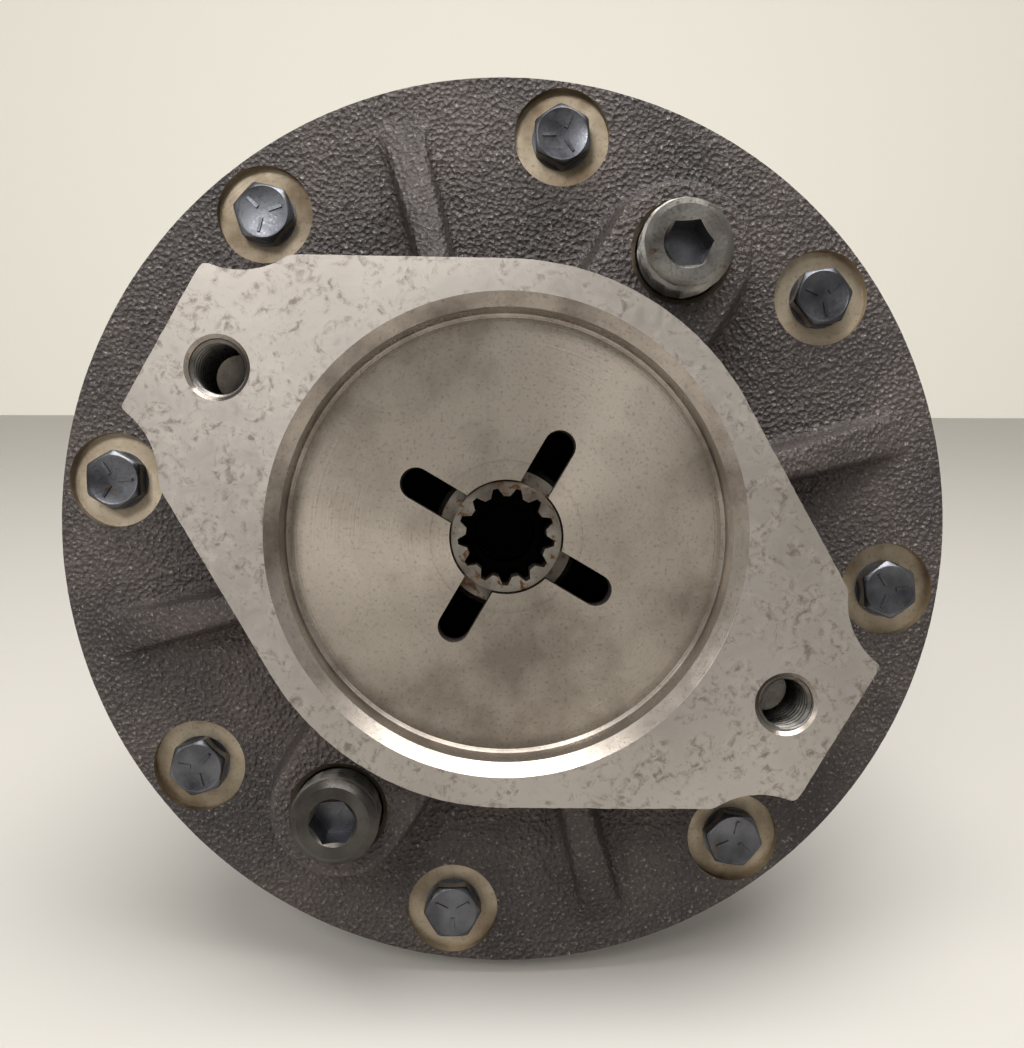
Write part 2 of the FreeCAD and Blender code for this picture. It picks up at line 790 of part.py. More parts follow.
def clip(tip, level):
    """A snap ring, open on one side, for a shaft of the given radius, its upper face at a level."""
    ring = tube(f"{tip} - clip_depth + seat_play", f"{tip} + clip_rim", level, "clip_width")
    gap = size("clip_opening")
    height = size("clip_width + 2 * overrun")
    corner = Vector(0, -gap / 2, size(f"{level} + overrun") - height)
    return ring.cut(Part.makeBox(size(f"{tip} + clip_rim + overrun"), gap, height, corner))


def clip_groove(tip, level):
    """The ring of material that a snap ring's groove takes off its shaft."""
    width = "clip_width + 2 * seat_play"
    return tube(f"{tip} - clip_depth", f"{tip} + clip_rim", f"{level} + seat_play", width)


def at_planet(shape, number):
    """A shape about the shaft axis moved out to one of the planets."""
    angle = 2 * math.pi / size("planet_count") * number
    moved = shape.copy()
    moved.translate(Vector(math.cos(angle), math.sin(angle), 0) * size("carrier_circle"))
    return moved


def make_stage(stage):
    """Carrier, planets, needle rollers, pins, washers and snap rings of one stage."""
    count = int(size("planet_count"))
    top = f"{stage}_level"
    width = f"{stage}_face_width"
    plate = f"{stage}_plate_level"
    back = f"{stage}_back_level"
    pin = f"{stage}_pin_radius"
    needle = f"{stage}_needle_radius"
    bore = f"{pin} + 2 * {needle} + 4 * seat_play"
    washer_top = f"{top} + end_play + washer_width"
    pin_top = f"{top} + pin_projection"
    clip_top = f"{washer_top} + end_play + clip_width"

    gear = extruded(gear_face(size("planet_teeth")), top, f"{top} - {width}")
    hole = disc(bore, f"{top} + overrun", f"{width} + 2 * overrun")
    washer = tube(f"{pin} + end_play", f"{pin} + washer_rim", "0", "washer_width")
    roller_circle = size(f"{pin} + {needle} + 2 * seat_play")
    roller = disc(needle, f"{top} - needle_end_gap", f"{width} - 2 * needle_end_gap")
    roller.translate(Vector(roller_circle, 0, 0))
    rollers = int(math.pi / math.asin(size(needle) / roller_circle) - size("needle_slack"))
    shank = disc(pin, pin_top, f"{pin_top} - ({back})").cut(clip_groove(pin, clip_top))
    washers = []
    clips = []
    for number in range(count):
        planet = form("planet_blank", at_planet(gear, number))
        bored = combine("Part::Cut", planet, form("planet_bore", at_planet(hole, number)))
        keep(bored, f"{stage}_planet_{number + 1}")
        ring = [at_planet(copy, number) for copy in round_the_axis(roller, rollers)]
        solid_group(f"{stage}_needles_{number + 1}", ring)
        keep(form("pin", at_planet(shank, number)), f"{stage}_pin_{number + 1}")
        for level in (washer_top, f"{top} - {width} - end_play"):
            moved = at_planet(washer, number)
            moved.translate(Vector(0, 0, size(level)))
            washers.append(moved)
        clips.append(at_planet(clip(pin, clip_top), number))
    solid_group(f"{stage}_thrust_washers", washers)
    solid_group(f"{stage}_pin_clips", clips)

    body = new_body(f"{stage}_plate")
    rim = f"{stage}_rim_radius"
    revolve(body, [
        ("pitch * sun_teeth / 2", plate),
        (f"{rim} - carrier_edge", plate),
        (rim, f"{plate} - carrier_edge"),
        (rim, f"{back} + carrier_edge"),
        (f"{rim} - carrier_edge", back),
        ("pitch * sun_teeth / 2", back),
    ])
    eye = new_sketch(body, level=plate)
    circle(eye, "carrier_circle", "0", pin)
    scallop = new_sketch(body, level=plate, turn="180 / planet_count")
    circle(scallop, f"{rim} + carrier_scallop_setback", "0", "carrier_scallop_radius")
    holes = pocket(body, eye, f"{stage}_carrier_width")
    cuts = pocket(body, scallop, f"{stage}_carrier_width")
    repeat(body, [holes, cuts], "planet_count")
    return body


def make_primary_carrier():
    """The first carrier holds the second sun gear in a bore of the same tooth form."""
    body = make_stage("primary")
    fit = gear_face(size("sun_teeth"), internal=True)
    fit = extruded(fit, "primary_plate_level + overrun", "primary_back_level - overrun")
    keep(combine("Part::Cut", body, form("sun_fit", fit)), "primary_carrier")
    tip = "pitch * sun_teeth + gear_addendum * gear_module"
    level = "primary_back_level - end_play"
    sun = extruded(gear_face(size("sun_teeth")), "primary_plate_level", "secondary_end_level")
    keep(form("second_sun", sun.cut(clip_groove(tip, level))), "secondary_sun")
    solid_group("secondary_sun_clip", [clip(tip, level)])
    washer = tube("input_bore_radius", "pitch * sun_teeth - gear_module", "primary_end_level - end_play",
                  "washer_width")
    solid_group("input_thrust_washer", [washer])


def make_output():
    """Second carrier, splined on the hexagonal output shaft, with what holds them together."""
    body = make_stage("secondary")
    module = size("shaft_spline_module")
    count = size("shaft_spline_teeth")
    middle = module * count / 2
    high = size("gear_addendum") * module
    deep = size("gear_dedendum") * module
    angle = size("pressure_angle")
    play = size("shaft_spline_play")
    fit = toothed_face(count, module, angle, middle + deep, middle - high, -play)
    fit = extruded(fit, "secondary_plate_level + overrun", "secondary_back_level - overrun")
    tip = "shaft_spline_module * (shaft_spline_teeth / 2 + gear_addendum)"
    recess = disc(f"{tip} + clip_rim + overrun", "secondary_plate_level + overrun", "plate_recess + overrun")
    keep(combine("Part::Cut", body, form("shaft_fit", fit.fuse(recess))), "secondary_carrier")
    level = "secondary_plate_level - plate_recess + end_play + clip_width"
    teeth = toothed_face(count, module, angle, middle + high, middle - deep, play)
    teeth = extruded(teeth, "shaft_top_level", "secondary_back_level").cut(clip_groove(tip, level))
    solid_group("carrier_clip", [clip(tip, level)])
    washer = tube("input_bore_radius", "pitch * sun_teeth - gear_module",
                  "secondary_end_level - end_play", "washer_width")
    solid_group("secondary_thrust_washer", [washer])

    shaft = new_body("output_journals")
    revolve(shaft, [
        ("0", "secondary_back_level"),
        ("nut_thread_radius", "secondary_back_level"),
        ("nut_thread_radius", "lock_level"),
        ("inner_journal_radius", "lock_level"),
        ("inner_journal_radius", "outer_bearing_level + bearing_width + journal_edge"),
        ("outer_journal_radius", "outer_bearing_level + bearing_width + journal_edge"),
        ("outer_journal_radius", "outer_bearing_level"),
        ("seal_journal_radius", "outer_bearing_level"),
        ("seal_journal_radius", "hex_level + journal_edge"),
        ("seal_journal_radius - journal_edge", "hex_level"),
        ("0", "hex_level"),
    ])
    end = new_sketch(shaft, level="hex_level")
    hexagon(end, "hex_flats")
    pad(shaft, end, "hex_length")
    revolve(shaft, [
        ("hex_corner_radius - hex_end_chamfer", "hex_end_level"),
        ("hex_corner_radius + overrun", "hex_end_level"),
        ("hex_corner_radius + overrun", "hex_end_level + hex_end_chamfer"),
        ("hex_corner_radius", "hex_end_level + hex_end_chamfer"),
    ], "PartDesign::Groove")
    cross = new_sketch(shaft, "XZ_Plane", level="-hex_flats")
    circle(cross, "0", "hex_end_level + hex_pin_setback", "hex_pin_radius")
    hole = pocket(shaft, cross, "2 * hex_flats", towards_motor=True)
    shaft.Tip = hole
    keep(combine("Part::Fuse", shaft, form("shaft_teeth", teeth)), "output_shaft")

    nut = new_body("bearing_nut")
    revolve(nut, ring_corners("nut_thread_radius + seat_play", "nut_radius", "nut_level", "nut_width"))
    slot = new_sketch(nut, level="nut_level")
    outline(slot, [
        ("nut_radius - nut_slot_depth", "-nut_slot_width / 2"),
        ("nut_radius + overrun", "-nut_slot_width / 2"),
        ("nut_radius + overrun", "nut_slot_width / 2"),
        ("nut_radius - nut_slot_depth", "nut_slot_width / 2"),
    ])
    repeat(nut, [pocket(nut, slot, "nut_width")], "nut_slot_count")
    keep(nut, "bearing_nut")
    bore = "inner_journal_radius + seat_play"
    rim = "nut_radius - nut_slot_depth"
    turned_piece("lock_washer", ring_corners(bore, rim, "lock_level", "lock_washer_width"))


def make_bearing(name, bore, cup, level, way):
    """A tapered roller bearing that reaches the given way from the back face of its cone."""
    middle = f"(({bore} + {cup}) / 2)"
    half_r = "(roller_length / 2 * sin(roller_tilt))"
    half_s = "(roller_length / 2 * cos(roller_tilt))"
    large = "(roller_radius + roller_taper / 2 + roller_play)"
    small = "(roller_radius - roller_taper / 2 + roller_play)"
    wide = (f"{middle} + {half_r}", f"bearing_width / 2 - {half_s}")
    narrow = (f"{middle} - {half_r}", f"bearing_width / 2 + {half_s}")

    def offset(end, distance, side):
        across = f"{end[0]} {side} {distance} * cos(roller_tilt)"
        up = f"{end[1]} {side} {distance} * sin(roller_tilt)"
        return across, up

    def standing(corners):
        return [(radius, f"{level} {way} ({step})") for radius, step in corners]

    wide_in = offset(wide, large, "-")
    narrow_in = offset(narrow, small, "-")
    wide_out = offset(wide, large, "+")
    slope = "tan(roller_tilt * 1 deg + atan(roller_taper / roller_length))"
    last = "(cup_setback + cup_width)"
    turned_piece(f"{name}_bearing_cone", standing([
        (bore, "0"),
        (wide[0], "0"),
        (wide[0], f"{wide[1]} - 2 * roller_play"),
        (wide_in[0], f"{wide_in[1]} - 2 * roller_play"),
        (narrow_in[0], f"{narrow_in[1]} + 2 * roller_play"),
        (f"{narrow_in[0]} + cone_rib", f"{narrow[1]} + 4 * roller_play"),
        (f"{narrow_in[0]} + cone_rib", "bearing_width"),
        (bore, "bearing_width"),
    ]))
    turned_piece(f"{name}_bearing_cup", standing([
        (cup, "cup_setback"),
        (cup, last),
        (f"{wide_out[0]} + ({wide_out[1]} - {last}) * {slope}", last),
        (f"{wide_out[0]} + ({wide_out[1]} - cup_setback) * {slope}", "cup_setback"),
    ]))
    way_z = 1 if way == "+" else -1
    tilt = math.radians(size("roller_tilt"))
    start = Vector(size(wide[0]), 0, size(f"{level} {way} ({wide[1]})"))
    along = Vector(-math.sin(tilt), 0, way_z * math.cos(tilt))
    radii = [size(f"roller_radius {sign} roller_taper / 2") for sign in "+-"]
    roller = Part.makeCone(radii[0], radii[1], size("roller_length"), start, along)
    solid_group(f"{name}_bearing_rollers", round_the_axis(roller, int(size("roller_count"))))


def make_oil_seal():
    """A steel-cased lip seal: the case, the rubber lip in it and the lip's spring."""
    inner = "seal_bore_radius - seal_wall"
    turned_piece("oil_seal_case", [
        ("seal_bore_radius", "hub_level + seal_width"),
        ("seal_bore_radius", "hub_level"),
        ("seal_lip_radius", "hub_level"),
        ("seal_lip_radius", "hub_level + seal_wall"),
        (inner, "hub_level + seal_wall"),
        (inner, "hub_level + seal_width"),
    ])
    contact = "seal_journal_radius + seat_play"
    waist = f"{contact} + seal_lip_thickness"
    middle = "hub_level + seal_width / 2"
    turned_piece("oil_seal_lip", [
        ("seal_lip_radius + seal_lip_lap", "hub_level + seal_wall"),
        ("seal_lip_radius", "hub_level + seal_wall"),
        ("seal_lip_radius", "hub_level"),
        ("seal_lip_radius - seal_lip_rake", "hub_level"),
        (contact, middle),
        (contact, f"{middle} + seal_lip_land"),
        (waist, f"{middle} + seal_lip_land + seal_lip_taper"),
        (waist, "hub_level + seal_wall * 2"),
        ("seal_lip_radius + seal_lip_lap", "hub_level + seal_wall * 2"),
    ])
    spring = document.addObject("Part::Torus", "oil_seal_spring")
    bind(spring, "Radius1", f"{waist} + seal_spring_gap + seal_spring_radius")
    bind(spring, "Radius2", "seal_spring_radius")
    document.recompute()
    spring.Placement = Placement(Vector(0, 0, size(f"{middle} + seal_spring_shift")), Rotation())
    keep(spring, "oil_seal_spring")


make_input_cover()
make_cover_seal()
make_cover_screws()
make_plug("fill_plug", 0)
make_plug("drain_plug", 180)
make_case()
make_ring_gear()
make_input_gear()
make_primary_carrier()
make_output()
make_bearing("inner", "inner_journal_radius", "inner_cup_radius", "inner_bearing_level", "-")
make_bearing("outer", "outer_journal_radius", "outer_cup_radius", "outer_bearing_level", "+")
make_oil_seal()


def finish():
    """Rebuild, look at every object's state and shape, and write each sub-part."""
    document.recompute()
    for item in document.Objects:
        if "Invalid" in item.State or "Error" in item.State:
            raise RuntimeError(f"{item.Name} ({item.Label}) failed: {item.State}")
    os.makedirs("parts", exist_ok=True)
    for item in pieces:
        if item.Shape.isNull() or not item.Shape.isValid():
            raise RuntimeError(f"{item.Label} has no valid shape")
        item.Shape.exportStep(f"parts/{item.Label}.step")
        print(item.Label, len(item.Shape.Solids), round(item.Shape.Volume))


finish()
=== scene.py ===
import json
import math

import bmesh
import bpy
from mathutils import Matrix, Vector, noise


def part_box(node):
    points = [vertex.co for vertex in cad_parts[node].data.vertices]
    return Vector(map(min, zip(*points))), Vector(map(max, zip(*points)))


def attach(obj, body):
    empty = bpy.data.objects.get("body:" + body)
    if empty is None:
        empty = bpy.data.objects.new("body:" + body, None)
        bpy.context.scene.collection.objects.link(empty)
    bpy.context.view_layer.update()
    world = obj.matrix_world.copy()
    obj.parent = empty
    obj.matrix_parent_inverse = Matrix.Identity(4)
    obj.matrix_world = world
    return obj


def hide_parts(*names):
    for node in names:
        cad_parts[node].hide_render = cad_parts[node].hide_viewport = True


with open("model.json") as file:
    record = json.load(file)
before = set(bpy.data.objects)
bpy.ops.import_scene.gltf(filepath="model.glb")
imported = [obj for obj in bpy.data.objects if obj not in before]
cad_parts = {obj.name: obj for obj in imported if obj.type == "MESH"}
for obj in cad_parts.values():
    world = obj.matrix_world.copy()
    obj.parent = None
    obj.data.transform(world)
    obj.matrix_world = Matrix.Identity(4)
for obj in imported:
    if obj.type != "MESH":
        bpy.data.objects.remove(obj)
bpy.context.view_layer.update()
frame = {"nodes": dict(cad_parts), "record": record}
print("frame loaded:", len(frame["nodes"]), "nodes")

scene = bpy.context.scene
mounts = {mount["name"]: mount for mount in frame["record"]["mounts"]}

# The drive is built standing up, in millimetres: Z towards the motor, Z = 0 on the motor pad.
# It then lies on its side, turned about the shaft as the cross pin's axis says.
pinAxis = mounts["output_cross_pin"]["axis"]
rollAngle = math.atan2(-pinAxis[0], pinAxis[2])
laid = Matrix.Rotation(math.pi / 2, 4, "X") @ Matrix.Rotation(rollAngle, 4, "Z") @ Matrix.Scale(0.001, 4)


def addNode(tree, kind, inputs=None, **settings):
    node = tree.nodes.new(kind)
    for name, value in settings.items():
        setattr(node, name, value)
    for socket, value in (inputs or {}).items():
        if isinstance(value, bpy.types.NodeSocket):
            tree.links.new(value, node.inputs[socket])
        else:
            node.inputs[socket].default_value = value
    return node


def linear(hexColour):
    channels = [int(hexColour[i:i + 2], 16) / 255 for i in (1, 3, 5)]
    return tuple(c / 12.92 if c <= 0.04045 else ((c + 0.055) / 1.055) ** 2.4 for c in channels) + (1,)


def perMm(millimetres):  # texture scale for a pattern of this size, in a model in metres
    return 1000 / millimetres


def newPiece(name, bm, finishes):
    mesh = bpy.data.meshes.new(name)
    bmesh.ops.recalc_face_normals(bm, faces=bm.faces)
    bm.to_mesh(mesh)
    bm.free()
    for finish in finishes:
        mesh.materials.append(finish)
    piece = bpy.data.objects.new(name, mesh)
    scene.collection.objects.link(piece)
    return piece


def applyModifiers(piece):
    graph = bpy.context.evaluated_depsgraph_get()
    mesh = bpy.data.meshes.new_from_object(piece.evaluated_get(graph))
    piece.modifiers.clear()
    old = piece.data
    piece.data = mesh
    bpy.data.meshes.remove(old)


def machine(piece, operation, cutter):  # one machining step, then the cutter is put away
    step = piece.modifiers.new(cutter.name, "BOOLEAN")
    step.operation = operation
    step.solver = "MANIFOLD"
    step.material_mode = "TRANSFER"
    step.object = cutter
    applyModifiers(piece)
    bpy.data.objects.remove(cutter)


def layDown(piece, body, sharpAngle=35):
    piece.data.transform(laid)
    piece.data.shade_smooth()
    piece.data.set_sharp_from_angle(angle=math.radians(sharpAngle))
    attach(piece, body)


def turned(bm, profile, steps=180, centre=(0, 0)):  # (radius, level, finish) points, once round
    rings = []
    for point in profile:
        radius, level = point[0], point[1]
        count = steps if radius > 0 else 1
        rings.append([bm.verts.new((
            centre[0] + radius * math.cos(2 * math.pi * k / steps),
            centre[1] + radius * math.sin(2 * math.pi * k / steps),
            level)) for k in range(count)])
    for number, point in enumerate(profile):
        here, there = rings[number], rings[(number + 1) % len(rings)]
        if len(here) == 1 and len(there) == 1:
            continue
        for k in range(steps):
            corners = [here[k % len(here)], here[(k + 1) % len(here)],
                       there[(k + 1) % len(there)], there[k % len(there)]]
            face = bm.faces.new(list(dict.fromkeys(corners)))
            face.material_index = point[2] if len(point) > 2 else 0


def prism(bm, outline, bottom, top, grow=0, finish=0):  # a flat outline made solid, wider at its foot
    count = len(outline)
    feet = []
    for number in range(count):
        before, here, after = (Vector(outline[(number + k) % count]) for k in (-1, 0, 1))
        alongs = [(here - before).normalized(), (after - here).normalized()]
        out = sum((Vector((along.y, -along.x)) for along in alongs), Vector((0, 0)))
        out = out / max(out.length_squared / 2, 0.5)
        feet.append(here + out * grow)
    low = [bm.verts.new((foot.x, foot.y, bottom)) for foot in feet]
    high = [bm.verts.new((point[0], point[1], top)) for point in outline]
    bm.faces.new(low[::-1]).material_index = finish
    bm.faces.new(high).material_index = finish
    for k in range(count):
        face = bm.faces.new((low[k], low[(k + 1) % count], high[(k + 1) % count], high[k]))
        face.material_index = finish


def arc(centre, radius, start, end, steps):
    turns = [math.radians(start + (end - start) * k / steps) for k in range(steps + 1)]
    return [(centre[0] + radius * math.cos(t), centre[1] + radius * math.sin(t)) for t in turns]


def rotated(points, degrees):
    turn = math.radians(degrees)
    return [(x * math.cos(turn) - y * math.sin(turn), x * math.sin(turn) + y * math.cos(turn))
            for x, y in points]


def polar(radius, degrees):
    return (radius * math.cos(math.radians(degrees)), radius * math.sin(math.radians(degrees)))


def threadDepth(turn, level, pitch):  # 0 on a crest and 1 in a root of a right-handed thread
    phase = (level / pitch - turn / (2 * math.pi)) % 1
    return min(max(1.3 * abs(2 * phase - 1) - 0.15, 0), 1)


def wrapped(bm, levels, radiusAt, around=96, centre=(0, 0), finish=0):  # a skin whose radius varies
    rings = []
    for level in levels:
        ring = []
        for k in range(around):
            turn = 2 * math.pi * k / around
            radius = radiusAt(turn, level)
            ring.append(bm.verts.new((centre[0] + radius * math.cos(turn),
                                      centre[1] + radius * math.sin(turn), level)))
        rings.append(ring)
    joinRings(bm, rings, finish)
    return rings


def joinRings(bm, rings, finish=0):
    for low, high in zip(rings, rings[1:]):
        for k in range(len(low)):
            m = (k + 1) % len(low)
            bm.faces.new((low[k], low[m], high[m], high[k])).material_index = finish


def stepped(low, high, step):
    count = max(int(round((high - low) / step)), 1)
    return [low + (high - low) * k / count for k in range(count + 1)]


cameraView = {
    "focal": 1094.08, "imageWidth": 1024, "imageHeight": 1048,
    "centre": (512.5, 600.0),            # where the straight-ahead ray meets the image
    "pitch": 0.093, "yaw": -0.019,       # radians
    "offset": (-1.177, -13.415, 241.408),  # the pad's centre from the camera: right, down, ahead, in mm
}


def makeCamera():
    view = cameraView
    turn = Matrix.Rotation(view["yaw"], 3, "Y") @ Matrix.Rotation(view["pitch"], 3, "X")
    swap = Matrix(((1, 0, 0), (0, 0, -1), (0, 1, 0)))
    turn = turn @ swap
    place = -(turn.transposed() @ Vector(view["offset"])) / 1000
    data = bpy.data.cameras.new("camera")
    data.sensor_fit = "HORIZONTAL"
    data.sensor_width = 36
    data.lens = view["focal"] / view["imageWidth"] * data.sensor_width
    data.shift_x = (view["imageWidth"] / 2 - view["centre"][0]) / view["imageWidth"]
    data.shift_y = (view["centre"][1] - view["imageHeight"] / 2) / view["imageWidth"]
    data.clip_start = 0.01
    camera = bpy.data.objects.new("camera", data)
    right, down, ahead = (Vector(row) for row in turn)
    camera.matrix_world = Matrix.Translation(place) @ Matrix((right, -down, -ahead)).transposed().to_4x4()
    scene.collection.objects.link(camera)
    scene.camera = camera


makeCamera()
print("camera set")

stage = {
    "floorColour": "#b4b0aa", "wallColour": "#e2ded2", "worldColour": "#e8e6e2",
    "worldStrength": 0.6, "floorGlow": 0.12, "wallGlow": 0.3, "paintRoughness": 0.6,
    "floorWidth": 9.0, "wallDistance": 1.75, "wallHeight": 4.0,  # metres
    "flangeRear": 0.059, "neckRadius": 0.094,                    # where the drive touches the floor, metres
}


def makeStage():
    # the drive rests on the edge of its bolting flange and on the end of its neck
    flangeEdge = Vector((0, stage["flangeRear"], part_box("case")[0].z))
    neckEdge = Vector((0, mounts["case_rear_face"]["pos_m"][1], -stage["neckRadius"]))
    slope = math.atan2(neckEdge.z - flangeEdge.z, neckEdge.y - flangeEdge.y)
    tilt = Matrix.Translation(flangeEdge) @ Matrix.Rotation(slope, 4, "X")
    half = stage["floorWidth"] / 2
    back = stage["wallDistance"]
    sheets = {
        "floor": [(-half, -half, 0), (half, -half, 0), (half, back, 0), (-half, back, 0)],
        "wall": [(-half, back, 0), (half, back, 0), (half, back, stage["wallHeight"]),
                 (-half, back, stage["wallHeight"])],
    }
    for name, corners in sheets.items():
        bm = bmesh.new()
        bm.faces.new([bm.verts.new(corner) for corner in corners])
        paint = bpy.data.materials.new(name + "Paint")
        paint.use_nodes = True
        shader = paint.node_tree.nodes["Principled BSDF"]
        shader.inputs["Base Color"].default_value = linear(stage[name + "Colour"])
        shader.inputs["Roughness"].default_value = stage["paintRoughness"]
        shader.inputs["Emission Color"].default_value = linear(stage[name + "Colour"])
        # the glow only shows to the camera and in reflections, so it puts no light on the drive
        seen = addNode(paint.node_tree, "ShaderNodeLightPath").outputs
        either = addNode(paint.node_tree, "ShaderNodeMath",
                         {0: seen["Is Camera Ray"], 1: seen["Is Glossy Ray"]}, operation="MAXIMUM")
        glow = addNode(paint.node_tree, "ShaderNodeMath",
                       {0: either.outputs["Value"], 1: stage[name + "Glow"]}, operation="MULTIPLY")
        paint.node_tree.links.new(glow.outputs["Value"], shader.inputs["Emission Strength"])
        sheet = newPiece(name, bm, [paint])
        sheet.data.transform(tilt)


def makeLights():
    world = bpy.data.worlds.new("studio")
    world.use_nodes = True
    scene.world = world
    background = world.node_tree.nodes["Background"]
    background.inputs["Color"].default_value = linear(stage["worldColour"])
    background.inputs["Strength"].default_value = stage["worldStrength"]
    lamps = {  # place, aim, width and height in metres, then watts
        "ceiling": ((0.1, -0.35, 1.1), (0, 0.05, 0), 1.2, 0.8, 22),
        "frontPanel": ((-0.3, -1.0, 0.55), (0, 0, 0), 0.3, 0.3, 4),
        "leftWindow": ((-1.0, -0.7, 0.5), (0, 0, 0), 0.7, 0.9, 5),
    }
    for name, (place, aim, width, height, watts) in lamps.items():
        data = bpy.data.lights.new(name, "AREA")
        data.shape = "RECTANGLE"
        data.size, data.size_y = width, height
        data.energy = watts
        lamp = bpy.data.objects.new(name, data)
        lamp.location = place
        lamp.rotation_euler = (Vector(aim) - Vector(place)).to_track_quat("-Z", "Y").to_euler()
        scene.collection.objects.link(lamp)


makeStage()
makeLights()
scene.view_settings.view_transform = "Standard"
print("stage and lights set")


def newMaterial(name):
    material = bpy.data.materials.new(name)
    material.use_nodes = True
    tree = material.node_tree
    return material, tree, tree.nodes["Principled BSDF"]


# A Mix node holds its two colours in sockets 6 and 7, and gives the mixed one from output 2.

# Grey iron, sand cast and left raw: a dark warm skin of fused grains about a millimetre
# across, with painted glints: a lighter colour on the grain's high spots.
def sandCastIron():
    material, tree, shader = newMaterial("greyIronSandCast")
    place = addNode(tree, "ShaderNodeTexCoord").outputs["Object"]
    grain = addNode(tree, "ShaderNodeTexNoise", {"Vector": place, "Scale": perMm(0.8), "Detail": 3})
    pits = addNode(tree, "ShaderNodeTexVoronoi", {"Vector": place, "Scale": perMm(1.2)})
    cloud = addNode(tree, "ShaderNodeTexNoise", {"Vector": place, "Scale": perMm(28), "Detail": 4})
    tone = addNode(tree, "ShaderNodeMapRange", {"Value": cloud.outputs["Fac"], "From Min": 0.35,
                                                "From Max": 0.7})
    base = addNode(tree, "ShaderNodeMix", {0: tone.outputs["Result"], 6: linear("#2f2a28"),
                                           7: linear("#4b423e")}, data_type="RGBA")
    # painted highlight: the grain's high spots get a lighter colour that stands for glints
    paintedGlint = addNode(tree, "ShaderNodeMapRange", {"Value": grain.outputs["Fac"], "From Min": 0.6,
                                                "From Max": 0.75})
    colour = addNode(tree, "ShaderNodeMix", {0: paintedGlint.outputs["Result"], 6: base.outputs[2],
                                             7: linear("#7d746e")}, data_type="RGBA")
    tree.links.new(colour.outputs[2], shader.inputs["Base Color"])
    rough = addNode(tree, "ShaderNodeMapRange", {"Value": grain.outputs["Fac"], "From Min": 0.3,
                                                 "From Max": 0.75, "To Min": 0.62, "To Max": 0.38})
    tree.links.new(rough.outputs["Result"], shader.inputs["Roughness"])
    shader.inputs["Metallic"].default_value = 0.25
    height = addNode(tree, "ShaderNodeMath", {0: grain.outputs["Fac"], 1: pits.outputs["Distance"]},
                     operation="ADD")
    bump = addNode(tree, "ShaderNodeBump", {"Height": height.outputs["Value"], "Distance": 0.0006,
                                            "Strength": 1.0})
    tree.links.new(bump.outputs["Normal"], shader.inputs["Normal"])
    return material


# Grey iron, face milled and since stained by oil and fingers: bright grey with brown flecks.
def milledIron():
    material, tree, shader = newMaterial("greyIronMilled")
    place = addNode(tree, "ShaderNodeTexCoord").outputs["Object"]
    swirl = addNode(tree, "ShaderNodeTexNoise", {"Vector": place, "Scale": perMm(7), "Detail": 8,
                                                 "Roughness": 0.68, "Distortion": 1.2})
    fleck = addNode(tree, "ShaderNodeTexNoise", {"Vector": place, "Scale": perMm(2.2), "Detail": 6,
                                                 "Roughness": 0.7, "Distortion": 0.6})
    stain = addNode(tree, "ShaderNodeTexNoise", {"Vector": place, "Scale": perMm(45), "Detail": 3})
    patch = addNode(tree, "ShaderNodeMapRange", {"Value": swirl.outputs["Fac"], "From Min": 0.47,
                                                 "From Max": 0.58})
    dots = addNode(tree, "ShaderNodeMapRange", {"Value": fleck.outputs["Fac"], "From Min": 0.46,
                                                "From Max": 0.62, "To Max": 0.62})
    marks = addNode(tree, "ShaderNodeMath", {0: patch.outputs["Result"], 1: dots.outputs["Result"]},
                    operation="MULTIPLY")
    tone = addNode(tree, "ShaderNodeMix", {0: stain.outputs["Fac"], 6: linear("#c0b9b1"),
                                           7: linear("#857e77")}, data_type="RGBA")
    colour = addNode(tree, "ShaderNodeMix", {0: marks.outputs["Value"], 6: tone.outputs[2],
                                             7: linear("#4a3d32")}, data_type="RGBA")
    tree.links.new(colour.outputs[2], shader.inputs["Base Color"])
    rough = addNode(tree, "ShaderNodeMapRange", {"Value": swirl.outputs["Fac"], "From Min": 0.3,
                                                 "From Max": 0.7, "To Min": 0.3, "To Max": 0.52})
    tree.links.new(rough.outputs["Result"], shader.inputs["Roughness"])
    shader.inputs["Metallic"].default_value = 0.85
    bump = addNode(tree, "ShaderNodeBump", {"Height": fleck.outputs["Fac"], "Distance": 0.00004,
                                            "Strength": 0.6})
    tree.links.new(bump.outputs["Normal"], shader.inputs["Normal"])
    return material


